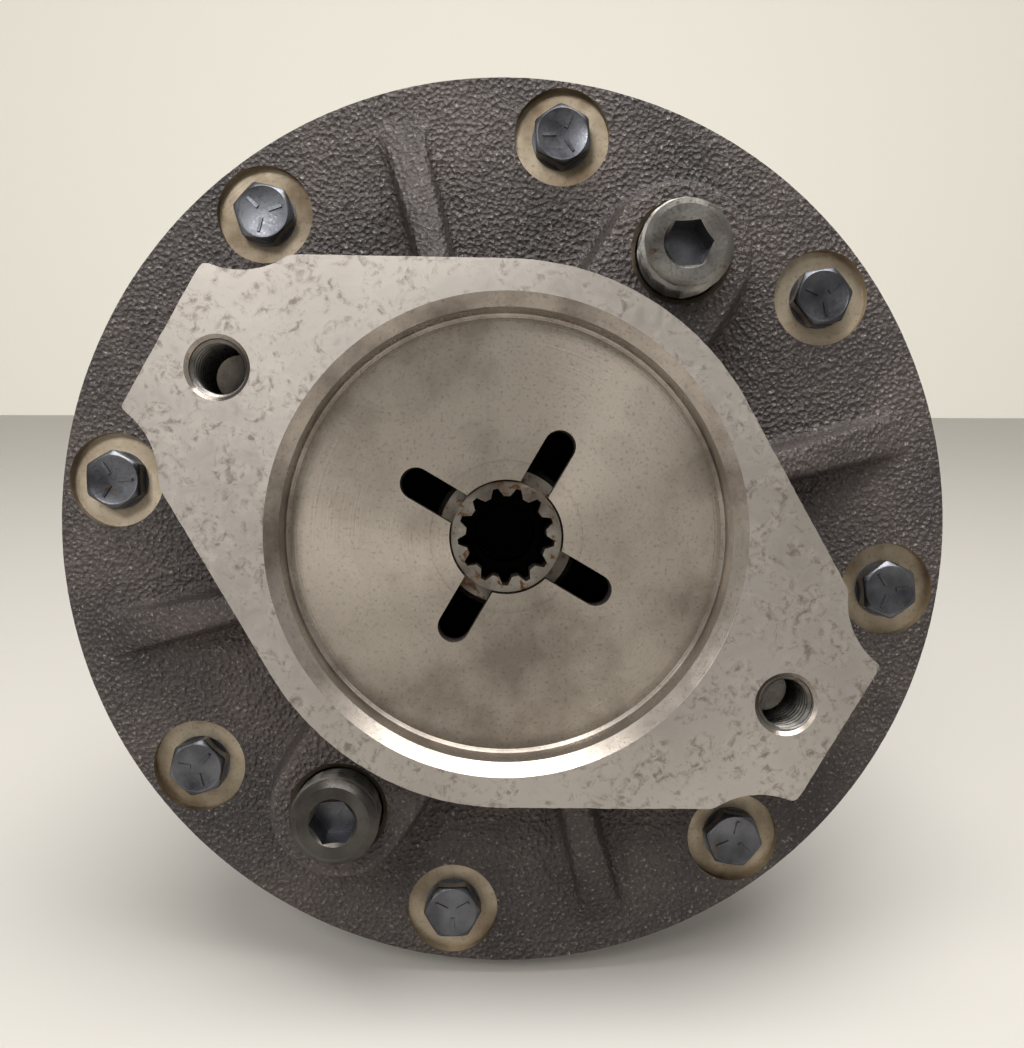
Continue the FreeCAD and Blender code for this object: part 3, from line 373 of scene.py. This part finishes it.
# Grey iron, faced or bored on a lathe: satin, with fine rings that stretch each highlight
# into a fan about the shaft. The tool's marks are really about 0.2 mm apart: ringPitch is
# coarser, so that they show.
def turnedIron(name, pale, dark, roughness, ringPitch):
    material, tree, shader = newMaterial(name)
    place = addNode(tree, "ShaderNodeTexCoord").outputs["Object"]
    axes = addNode(tree, "ShaderNodeSeparateXYZ", {"Vector": place})
    flat = addNode(tree, "ShaderNodeCombineXYZ", {"X": axes.outputs["X"], "Y": axes.outputs["Z"]})
    radius = addNode(tree, "ShaderNodeVectorMath", {0: flat.outputs["Vector"]}, operation="LENGTH")
    ringPlace = addNode(tree, "ShaderNodeCombineXYZ", {"X": radius.outputs["Value"], "Y": axes.outputs["Y"]})
    rings = addNode(tree, "ShaderNodeTexNoise", {"Vector": ringPlace.outputs["Vector"],
                                                 "Scale": perMm(ringPitch), "Detail": 3})
    cloud = addNode(tree, "ShaderNodeTexNoise", {"Vector": place, "Scale": perMm(22), "Detail": 5,
                                                 "Roughness": 0.6})
    fine = addNode(tree, "ShaderNodeTexNoise", {"Vector": place, "Scale": perMm(0.8), "Detail": 3})
    tone = addNode(tree, "ShaderNodeMapRange", {"Value": cloud.outputs["Fac"], "From Min": 0.4,
                                                "From Max": 0.68})
    base = addNode(tree, "ShaderNodeMix", {0: tone.outputs["Result"], 6: linear(pale),
                                           7: linear(dark)}, data_type="RGBA")
    speck = addNode(tree, "ShaderNodeMapRange", {"Value": fine.outputs["Fac"], "From Min": 0.55,
                                                 "From Max": 0.72, "To Max": 0.35})
    colour = addNode(tree, "ShaderNodeMix", {0: speck.outputs["Result"], 6: base.outputs[2],
                                             7: linear("#3e3730")}, data_type="RGBA")
    tree.links.new(colour.outputs[2], shader.inputs["Base Color"])
    rough = addNode(tree, "ShaderNodeMapRange", {"Value": cloud.outputs["Fac"], "From Min": 0.35,
                                                 "From Max": 0.7, "To Min": roughness - 0.06,
                                                 "To Max": roughness + 0.1})
    tree.links.new(rough.outputs["Result"], shader.inputs["Roughness"])
    shader.inputs["Metallic"].default_value = 0.9
    shader.inputs["Anisotropic"].default_value = 0.8
    tangent = addNode(tree, "ShaderNodeTangent", direction_type="RADIAL", axis="Y")
    tree.links.new(tangent.outputs["Tangent"], shader.inputs["Tangent"])
    bump = addNode(tree, "ShaderNodeBump", {"Height": rings.outputs["Fac"], "Distance": 0.00003,
                                            "Strength": 0.6})
    tree.links.new(bump.outputs["Normal"], shader.inputs["Normal"])
    return material


# depths at which the painted shade inside the drive begins and ends
paintedShadeFrom = {"front": (0.0225, 0.029), "back": (0.234, 0.231)}  # metres behind the pad, fading in


def paintedShadeInside(tree, place, colour):  # painted shade: what lies deep inside the closed drive is darkened to near black
    depth = addNode(tree, "ShaderNodeSeparateXYZ", {"Vector": place}).outputs["Y"]
    front = addNode(tree, "ShaderNodeMapRange", {"Value": depth, "From Min": paintedShadeFrom["front"][0],
                                                  "From Max": paintedShadeFrom["front"][1]})
    back = addNode(tree, "ShaderNodeMapRange", {"Value": depth, "From Min": paintedShadeFrom["back"][0],
                                                 "From Max": paintedShadeFrom["back"][1]})
    both = addNode(tree, "ShaderNodeMath", {0: front.outputs["Result"], 1: back.outputs["Result"]},
                   operation="MULTIPLY")
    # painted shade: the colour goes to near black between the two depths
    return addNode(tree, "ShaderNodeMix", {0: both.outputs["Value"], 6: colour,
                                           7: linear("#0b0a09")}, data_type="RGBA").outputs[2]


# Steel of one kind or another: a pale tone, a darker one in clouds, a fine tool grain, rust or
# oil stains where asked, and painted shade deep inside the drive where asked. The grain, really 0.1 mm, is
# drawn coarser, so that it shows.
def steel(name, pale, dark, roughness, stain=None, stainShare=0.0, metallic=1.0, inside=False):
    material, tree, shader = newMaterial(name)
    place = addNode(tree, "ShaderNodeTexCoord").outputs["Object"]
    cloud = addNode(tree, "ShaderNodeTexNoise", {"Vector": place, "Scale": perMm(9), "Detail": 5})
    fine = addNode(tree, "ShaderNodeTexNoise", {"Vector": place, "Scale": perMm(0.6), "Detail": 3})
    tone = addNode(tree, "ShaderNodeMapRange", {"Value": cloud.outputs["Fac"], "From Min": 0.35,
                                                "From Max": 0.68})
    colour = addNode(tree, "ShaderNodeMix", {0: tone.outputs["Result"], 6: linear(pale),
                                             7: linear(dark)}, data_type="RGBA").outputs[2]
    if stain:
        spots = addNode(tree, "ShaderNodeTexNoise", {"Vector": place, "Scale": perMm(3.2), "Detail": 6,
                                                     "Roughness": 0.7, "Distortion": 0.8})
        edge = 0.68 - stainShare * 0.4
        share = addNode(tree, "ShaderNodeMapRange", {"Value": spots.outputs["Fac"], "From Min": edge,
                                                     "From Max": edge + 0.08})
        colour = addNode(tree, "ShaderNodeMix", {0: share.outputs["Result"], 6: colour,
                                                 7: linear(stain)}, data_type="RGBA").outputs[2]
    # painted shade deep inside the drive
    if inside:
        colour = paintedShadeInside(tree, place, colour)
    tree.links.new(colour, shader.inputs["Base Color"])
    rough = addNode(tree, "ShaderNodeMapRange", {"Value": fine.outputs["Fac"], "From Min": 0.3,
                                                 "From Max": 0.7, "To Min": roughness - 0.07,
                                                 "To Max": roughness + 0.09})
    tree.links.new(rough.outputs["Result"], shader.inputs["Roughness"])
    shader.inputs["Metallic"].default_value = metallic
    bump = addNode(tree, "ShaderNodeBump", {"Height": fine.outputs["Fac"], "Distance": 0.00003,
                                            "Strength": 0.5})
    tree.links.new(bump.outputs["Normal"], shader.inputs["Normal"])
    return material


castSkin = sandCastIron()
padFinish = milledIron()
floorFinish = turnedIron("greyIronFaced", "#b3a99c", "#857b70", 0.27, 0.35)
boreFinish = turnedIron("greyIronBored", "#a59c92", "#6f675f", 0.26, 0.5)
spotFinish = turnedIron("greyIronSpotfaced", "#a39784", "#6e5f4c", 0.42, 0.5)
finishes = {
    # grey iron, sand cast: dark, warm and grainy
    "cover_iron": castSkin,
    "case_iron": castSkin,
    # alloy steel, heat treated and dipped in oil: blue-black with a soft sheen
    "screw_steel": steel("boltSteelBlackOxide", "#67686c", "#3c3c40", 0.33, "#5e4a3c", 0.12),
    # plain steel pipe plug, handled and oily
    "plug_steel": steel("plugSteelTurned", "#827f7a", "#4c4946", 0.32, "#54402e", 0.2),
    # hobbed and case hardened gear steel, oil stained, with painted shade deep inside the drive
    "gear_steel": steel("gearSteelHobbed", "#8b857c", "#5a534b", 0.36, "#5b3f28", 0.35, inside=True),
    # alloy steel, turned: bright satin where it comes out of the seal, with painted shade deep inside the
    # drive
    "shaft_steel": steel("shaftSteelTurned", "#a39f98", "#77736d", 0.3, inside=True),
    # bearing steel, ground: nearly a mirror
    "bearing_steel": steel("bearingSteelGround", "#c2c0bc", "#a09e9a", 0.18),
    # spring steel, oiled: dark grey with a soft sheen
    "clip_steel": steel("springSteelOiled", "#55555a", "#333337", 0.35),
    # bearing bronze, turned: warm yellow satin
    "bronze": steel("bearingBronzeTurned", "#b98a4c", "#8f6838", 0.32),
    # nitrile rubber, moulded: near black and dull
    "seal_rubber": steel("nitrileRubberMoulded", "#1b1b1c", "#101011", 0.55, metallic=0.0),
    # pressed steel seal case, lacquered: smooth blue-grey
    "seal_steel": steel("sealCaseLacquered", "#3a3f44", "#2a2e33", 0.4, metallic=0.2),
}
for subpart in frame["record"]["subparts"]:
    shown = frame["nodes"][subpart["node"]].data
    shown.materials.clear()
    shown.materials.append(finishes[subpart["material_slot"]])


def finishCase():  # the case's turned faces are bright, the rest stays raw
    mesh = frame["nodes"]["case"].data
    mesh.materials.append(boreFinish)
    turnedLevels = [mounts["case_rear_face"]["pos_m"][1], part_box("case")[1].y]
    pilot = mounts["case_pilot"]["dims"]["r_mm"] / 1000
    for face in mesh.polygons:
        radius = math.hypot(face.center.x, face.center.z)
        across = abs(face.normal.y) > 0.9
        level = min(abs(face.center.y - turnedLevel) for turnedLevel in turnedLevels)
        if (across and level < 0.0002) or (not across and abs(radius - pilot) < 0.0004):
            face.material_index = 1


finishCase()
print("finishes assigned")


# The input cover: a sand casting, then milled, turned, spotfaced and tapped. Sizes in mm.
cover = {
    "radius": 107.95, "faceLevel": -27.0, "jointLevel": -41.0, "stock": 2.5,
    "padHalfLength": 86.7, "padHalfEnd": 20.0, "padWaist": 60.5, "padTurn": 157.5, "padGrow": 0.95,
    "ribTurn": 22.5, "ribWidth": 11.0, "ribTop": 5.5, "ribDrop": 8.0, "ribReach": 101.5, "ribCount": 4,
    "bossRadius": 16.2, "bossLevel": -10.5, "bossGrow": 2.6, "plugCircle": 75.5, "plugTurn": 66.5,
    "screwCircle": 95.25, "screwCount": 8, "wellRadius": 18.3, "spotRadius": 11.3, "spotDepth": 2.5,
    "screwHole": 4.3, "pilotRadius": 50.83, "pilotChamfer": 2.9, "pilotDepth": 12.7, "pilotCorner": 0.8,
    "window": 13.3, "slotWidth": 7.5, "slotReach": 28.0, "slotTurn": 67.5, "slotCount": 4,
    "ringRadius": 17.8, "ringWidth": 0.7, "ringDepth": 0.3,
    "boltSpacing": 146.05, "boltRadius": 6.35, "boltSink": 7.2, "boltPitch": 1.954, "boltDepth": 26.0,
    "boltSinkWiden": 1.0, "drillPoint": 2.0, "threadDepth": 1.0, "threadFade": 0.6,
    "spigotRadius": 86.0, "spigotDepth": 5.0,                   # it centres the cover in the case
    "insideRadius": 79.0, "insideRim": 9.0, "insideLip": 52.0,  # the hollow over the gears
    "insideSlope": ((44.0, -26.7), (38.0, -20.7)),              # radius and level of its sloping roof
    "portRadius": 10.45, "portDrill": 5.5, "portShoulder": -22.0, "portPoint": -24.0,
    "portMouth": 11.8, "portMouthDepth": 1.2,
    "voxel": 0.75, "smoothing": 22, "pebble": 0.1, "pebbleSize": 1.7, "waveSize": 14.0,
    "sunk": 4.0,       # how far the blank's forms reach into the body below them
    "rootInset": 12.0, "crownInset": 4.0, "ribFoot": 0.5, "turningStock": 1.5,
}


oppositeSides = (0, 180)                          # degrees
aboveAll, belowAll, beyondAll = 10.0, -40.0, 125.0  # past the casting: up, down and outwards


def padOutline():
    c = cover
    reach = math.hypot(c["padHalfLength"], c["padHalfEnd"])
    touch = math.degrees(math.acos(c["padWaist"] / reach) + math.atan(c["padHalfEnd"] / c["padHalfLength"]))
    points = [(c["padHalfLength"], -c["padHalfEnd"]), (c["padHalfLength"], c["padHalfEnd"])]
    points += arc((0, 0), c["padWaist"], touch, 180 - touch, 24)
    points += [(-c["padHalfLength"], c["padHalfEnd"]), (-c["padHalfLength"], -c["padHalfEnd"])]
    points += arc((0, 0), c["padWaist"], 180 + touch, 360 - touch, 24)
    return rotated(points, c["padTurn"])


def screwCentres():
    return [polar(cover["screwCircle"], 360 / cover["screwCount"] * k) for k in range(cover["screwCount"])]


def padPattern():  # the pad, with a well cut into it at each screw that it would cover
    c = cover
    pad = bmesh.new()
    prism(pad, padOutline(), c["faceLevel"] - c["sunk"], c["stock"], c["padGrow"])
    pattern = newPiece("coverCasting", pad, [castSkin])
    wells = bmesh.new()
    for centre in screwCentres():
        turned(wells, [(0, c["faceLevel"]), (c["wellRadius"], c["faceLevel"]),
                       (c["wellRadius"], aboveAll), (0, aboveAll)], 64, centre)
    machine(pattern, "DIFFERENCE", newPiece("wellPattern", wells, [castSkin]))
    return pattern


def addRib(bm, degrees):  # a gusset, wide at its foot, from under the pad out to the rim
    c = cover
    crown, foot = -c["ribDrop"], c["faceLevel"] - c["sunk"]
    root = c["padWaist"] - c["rootInset"]
    profile = [(root, foot), (c["ribReach"], foot), (c["ribReach"], c["faceLevel"] - c["ribFoot"]),
               (c["padWaist"] - c["crownInset"], crown), (root, crown)]
    sides = []
    for side in (-1, 1):
        ring = []
        for across, up in profile:
            share = (up - crown) / (foot - crown)
            half = c["ribTop"] / 2 + (c["ribWidth"] / 2 - c["ribTop"] / 2) * share
            (x, y), = rotated([(across, side * half)], degrees)
            ring.append(bm.verts.new((x, y, up)))
        sides.append(ring)
    bm.faces.new(sides[0])
    bm.faces.new(sides[1][::-1])
    for n in range(len(profile)):
        m = (n + 1) % len(profile)
        bm.faces.new((sides[0][n], sides[0][m], sides[1][m], sides[1][n]))


def addBoss(bm, degrees):  # a plug's boss, with a tongue back to the pad
    c = cover
    root = c["padWaist"] - c["rootInset"]
    tongue = [(root, c["bossRadius"]), (root, -c["bossRadius"])]
    tongue += arc((c["plugCircle"], 0), c["bossRadius"], -90, 90, 24)
    prism(bm, rotated(tongue, degrees), c["faceLevel"] - c["sunk"], c["bossLevel"], c["bossGrow"])


def coverBlank():
    c = cover
    blank = padPattern()
    shape = bmesh.new()
    edge, foot = c["radius"] + c["turningStock"], c["jointLevel"] - 2 * c["turningStock"]
    turned(shape, [(0, foot), (edge, foot), (edge, c["faceLevel"]), (0, c["faceLevel"])])
    for k in range(c["ribCount"]):
        addRib(shape, c["ribTurn"] + 360 / c["ribCount"] * k)
    for side in oppositeSides:
        addBoss(shape, c["plugTurn"] + side)
    rest = newPiece("coverBlankRest", shape, [castSkin])
    both = bmesh.new()
    both.from_mesh(blank.data)
    both.from_mesh(rest.data)
    both.to_mesh(blank.data)
    both.free()
    bpy.data.objects.remove(rest)
    remesh = blank.modifiers.new("sandMould", "REMESH")
    remesh.mode = "VOXEL"
    remesh.voxel_size = c["voxel"]
    smooth = blank.modifiers.new("castRadii", "SMOOTH")
    smooth.factor = 0.5
    smooth.iterations = c["smoothing"]
    applyModifiers(blank)
    # all normals are read before any point moves, because each move would work them out again
    normals = [vertex.normal.copy() for vertex in blank.data.vertices]
    for vertex, normal in zip(blank.data.vertices, normals):  # the mould's own unevenness
        lift = noise.fractal(vertex.co / c["pebbleSize"], 1.0, 2.0, 3) * c["pebble"]
        lift += noise.noise(vertex.co / c["waveSize"]) * c["pebble"]
        vertex.co += normal * lift
    return blank


def turnOutside(casting):  # what stays is inside this turned shape: edge, spigot and hollow
    c = cover
    face, joint = c["faceLevel"], c["jointLevel"]
    spigotEnd, rim = joint - c["spigotDepth"], face - c["insideRim"]
    (slopeFoot, lowLevel), (slopeTop, roof) = c["insideSlope"]
    envelope = bmesh.new()
    turned(envelope, [(0, aboveAll), (c["radius"], aboveAll, 2), (c["radius"], joint, 2),
                      (c["spigotRadius"], joint, 2), (c["spigotRadius"], spigotEnd, 2),
                      (c["insideRadius"], spigotEnd, 1), (c["insideRadius"], rim, 1),
                      (c["insideLip"], rim, 0), (slopeFoot, lowLevel, 0), (slopeTop, roof, 0),
                      (0, roof, 0)], 256)
    machine(casting, "INTERSECT", newPiece("turnedOutside", envelope, [castSkin, floorFinish, boreFinish]))


def borePilot(casting):  # the pad's face, the pilot recess, the ring in its floor and the window
    c = cover
    floor, inner, ring = -c["pilotDepth"], c["ringRadius"] - c["ringWidth"], c["ringRadius"]
    bore = bmesh.new()
    turned(bore, [(0, belowAll, 0), (c["window"], belowAll, 2), (c["window"], floor, 1),
                  (inner, floor, 2), (inner, floor - c["ringDepth"], 1),
                  (ring, floor - c["ringDepth"], 2), (ring, floor, 1),
                  (c["pilotRadius"] - c["pilotCorner"], floor, 2),
                  (c["pilotRadius"], floor + c["pilotCorner"], 2),
                  (c["pilotRadius"], -c["pilotChamfer"], 2),
                  (c["pilotRadius"] + c["pilotChamfer"], 0, 0),
                  (beyondAll, 0, 0), (beyondAll, 15, 0), (0, 15, 0)], 256)
    machine(casting, "DIFFERENCE", newPiece("pilotTool", bore, [padFinish, floorFinish, boreFinish]))


def millSlots(casting):
    c = cover
    half = c["slotWidth"] / 2
    slots = bmesh.new()
    for k in range(c["slotCount"]):
        shape = [(c["window"] - half, half), (c["window"] - half, -half)]
        shape += arc((c["slotReach"] - half, 0), half, -90, 90, 16)
        prism(slots, rotated(shape, c["slotTurn"] + 360 / c["slotCount"] * k), -35, 1 - c["pilotDepth"])
    machine(casting, "DIFFERENCE", newPiece("slotTool", slots, [castSkin]))


def seatScrews(casting):  # a spotface and a clearance hole for each cover screw
    c = cover
    seat, bottom, top = c["faceLevel"] - c["spotDepth"], c["jointLevel"] - 6, c["faceLevel"] + 6
    seats = bmesh.new()
    for centre in screwCentres():
        turned(seats, [(0, bottom, 0), (c["screwHole"], bottom, 0), (c["screwHole"], seat, 0),
                       (c["spotRadius"], seat, 0), (c["spotRadius"], top, 0), (0, top, 0)], 72, centre)
    machine(casting, "DIFFERENCE", newPiece("spotfaceTool", seats, [spotFinish]))


def borePlugPorts(casting):  # the two ports that the plugs close
    c = cover
    ports = bmesh.new()
    for side in oppositeSides:
        turned(ports, [(0, -50), (c["portDrill"], -50), (c["portDrill"], c["portPoint"]),
                       (c["portRadius"], c["portShoulder"]),
                       (c["portRadius"], c["bossLevel"] - c["portMouthDepth"]),
                       (c["portMouth"], c["bossLevel"] + 0.2), (c["portMouth"], 0), (0, 0)], 72,
               polar(c["plugCircle"], c["plugTurn"] + side))
    machine(casting, "DIFFERENCE", newPiece("portTool", ports, [spotFinish]))


def drillMotorHoles(casting):
    c = cover
    for side in oppositeSides:
        drill = bmesh.new()
        turned(drill, [(0, -c["boltDepth"]), (c["boltRadius"], c["drillPoint"] - c["boltDepth"]),
                       (c["boltRadius"], c["boltRadius"] - c["boltSink"]),
                       (c["boltSink"] + c["boltSinkWiden"], c["boltSinkWiden"]),
                       (0, c["boltSinkWiden"])],
               96, polar(c["boltSpacing"] / 2, c["padTurn"] + side))
        machine(casting, "DIFFERENCE", newPiece("drill", drill, [boreFinish]))


def machineCover():
    casting = coverBlank()
    print("cover cast:", len(casting.data.polygons), "faces")
    for step in (turnOutside, borePilot, millSlots, seatScrews, borePlugPorts, drillMotorHoles):
        step(casting)
    layDown(casting, "housing", 28)
    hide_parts("input_cover")


machineCover()
print("cover machined")


def tapMotorHoles():  # the thread that is left standing in each drilled hole
    c = cover
    bm = bmesh.new()
    top = c["boltRadius"] - c["boltSink"] - 0.25
    levels = stepped(4 - c["boltDepth"], top, c["boltPitch"] / 14)

    def crest(turn, level):
        fade = min(max((top - level) / c["threadFade"], 0), 1)
        return c["boltRadius"] - c["threadDepth"] * fade * (1 - threadDepth(turn, level, c["boltPitch"]))

    for side in oppositeSides:
        centre = polar(c["boltSpacing"] / 2, c["padTurn"] + side)
        inner = wrapped(bm, levels, crest, 96, centre)
        outer = wrapped(bm, levels[::-1], lambda turn, level: c["boltRadius"] + 0.15, 96, centre)
        joinRings(bm, [inner[-1], outer[0]])
        joinRings(bm, [outer[-1], inner[0]])
    thread = newPiece("motorBoltThreads", bm, [finishes["plug_steel"]])
    layDown(thread, "housing", 50)


tapMotorHoles()
print("motor holes tapped")


# Pipe plugs with a hexagon socket. Sizes in mm.
plug = {
    "radius": 10.4, "length": 19.0, "stand": 9.5, "chamfer": 2.1, "lead": 1.5,
    "pitch": 1.814, "depth": 1.15, "taper": 1 / 32,  # a taper pipe thread
    "socket": 9.53, "socketDepth": 9.0, "socketTurn": 12, "mouth": 0.5,
}


def makePlug(name, node, side, finish):
    p = plug
    centre = polar(cover["plugCircle"], cover["plugTurn"] + side)
    top = cover["bossLevel"] + p["stand"]
    bottom = top - p["length"]

    def radiusAt(turn, level):
        body = p["radius"] - p["taper"] * (top - level) - p["depth"] * threadDepth(turn, level, p["pitch"])
        return min(body, p["radius"] - p["chamfer"] + (top - level),
                   p["radius"] - p["lead"] + (level - bottom))

    bm = bmesh.new()
    rings = wrapped(bm, stepped(bottom, top, p["pitch"] / 16), radiusAt, 112, centre)
    bm.faces.new(rings[0][::-1])
    bm.faces.new(rings[-1])
    piece = newPiece(name, bm, [finish, finishes["screw_steel"]])
    socket = bmesh.new()
    corner = p["socket"] / math.sqrt(3)
    corners = [polar(corner, 60 * k + p["socketTurn"]) for k in range(6)]
    hexagon = [(centre[0] + x, centre[1] + y) for x, y in corners]
    prism(socket, hexagon, top - p["socketDepth"], top + 1, 0, 1)
    machine(piece, "DIFFERENCE", newPiece("socketPunch", socket, [finish, finishes["screw_steel"]]))
    mouth = bmesh.new()
    low = top - corner * 0.6 - 0.1
    turned(mouth, [(0, low), (corner * 0.4, low),
                   (corner + p["mouth"] * 0.4, top + 0.1), (0, top + 0.1)], 72, centre)
    machine(piece, "DIFFERENCE", newPiece("socketMouth", mouth, [finish]))
    layDown(piece, "housing", 32)
    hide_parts(node)


makePlug("fillPlugThreaded", "fill_plug", 0, finishes["plug_steel"])
oilyPlug = steel("plugSteelOily", "#54514d", "#322f2c", 0.38, "#3e3126", 0.2)  # oil has run over it
makePlug("drainPlugThreaded", "drain_plug", 180, oilyPlug)
print("plugs made")


# Cover screws: forged heads with a round bearing face and three raised grade lines.
screws = {
    "flats": 12.7, "corner": 7.16, "height": 5.4, "washer": 7.0, "washerHeight": 0.5, "crown": 5.9,
    "crownSlope": 30, "edge": 0.18, "dish": 0.12, "dishEdge": 0.4, "shank": 3.97, "length": 25.4,
    "lineCount": 3, "lineStart": 1.5, "lineEnd": 4.7, "lineWidth": 0.9, "lineTaper": 0.7,
    "lineHeight": 0.4, "lineSunk": 0.3, "lineGrow": 0.08,
    "spins": (14, 47, 71, 25, 8, 55, 39, 88),  # degrees: each stopped where it was tight
}


def addScrew(bm, centre, spinDegrees):
    s = screws
    seat = cover["faceLevel"] - cover["spotDepth"]
    top = seat + s["height"]
    face = top - s["dish"]
    collar = seat + s["washerHeight"]
    slope = math.tan(math.radians(s["crownSlope"]))
    spin = math.radians(spinDegrees)

    def hexRadius(turn):
        fold = (turn - spin + math.pi / 6) % (math.pi / 3) - math.pi / 6
        return min(s["flats"] / 2 / math.cos(fold), s["corner"])

    def chamfered(radius):
        return top - max(radius - s["crown"], 0) * slope

    rings = []
    for radiusOf, levelOf in (  # up the shank, round the bearing face and over the head
        (lambda t: s["shank"], lambda t: seat - s["length"]),
        (lambda t: s["shank"], lambda t: seat),
        (lambda t: s["washer"], lambda t: seat),
        (lambda t: s["washer"], lambda t: collar),
        (hexRadius, lambda t: collar),
        (hexRadius, lambda t: chamfered(hexRadius(t)) - s["edge"]),
        (lambda t: hexRadius(t) - s["edge"], lambda t: chamfered(hexRadius(t) - s["edge"])),
        (lambda t: s["crown"], lambda t: top),
        (lambda t: s["crown"] - s["dishEdge"], lambda t: face),
    ):
        ring = []
        for k in range(96):
            turn = 2 * math.pi * k / 96
            ring.append(bm.verts.new((centre[0] + radiusOf(turn) * math.cos(turn),
                                      centre[1] + radiusOf(turn) * math.sin(turn), levelOf(turn))))
        rings.append(ring)
    joinRings(bm, rings)
    bm.faces.new(rings[0][::-1])
    bm.faces.new(rings[-1])
    half = s["lineWidth"] / 2
    for line in range(s["lineCount"]):
        bar = [(s["lineStart"], -half), (s["lineEnd"], -half * s["lineTaper"]),
               (s["lineEnd"], half * s["lineTaper"]), (s["lineStart"], half)]
        bar = rotated(bar, spinDegrees + 360 / s["lineCount"] * line)
        bar = [(centre[0] + x, centre[1] + y) for x, y in bar]
        prism(bm, bar, top - s["lineSunk"], face + s["lineHeight"], s["lineGrow"])


def makeScrews():
    bm = bmesh.new()
    for centre, spin in zip(screwCentres(), screws["spins"]):
        addScrew(bm, centre, spin)
    piece = newPiece("coverScrewsForged", bm, [finishes["screw_steel"]])
    layDown(piece, "housing", 32)
    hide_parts("cover_screws")


makeScrews()
print("screws made")
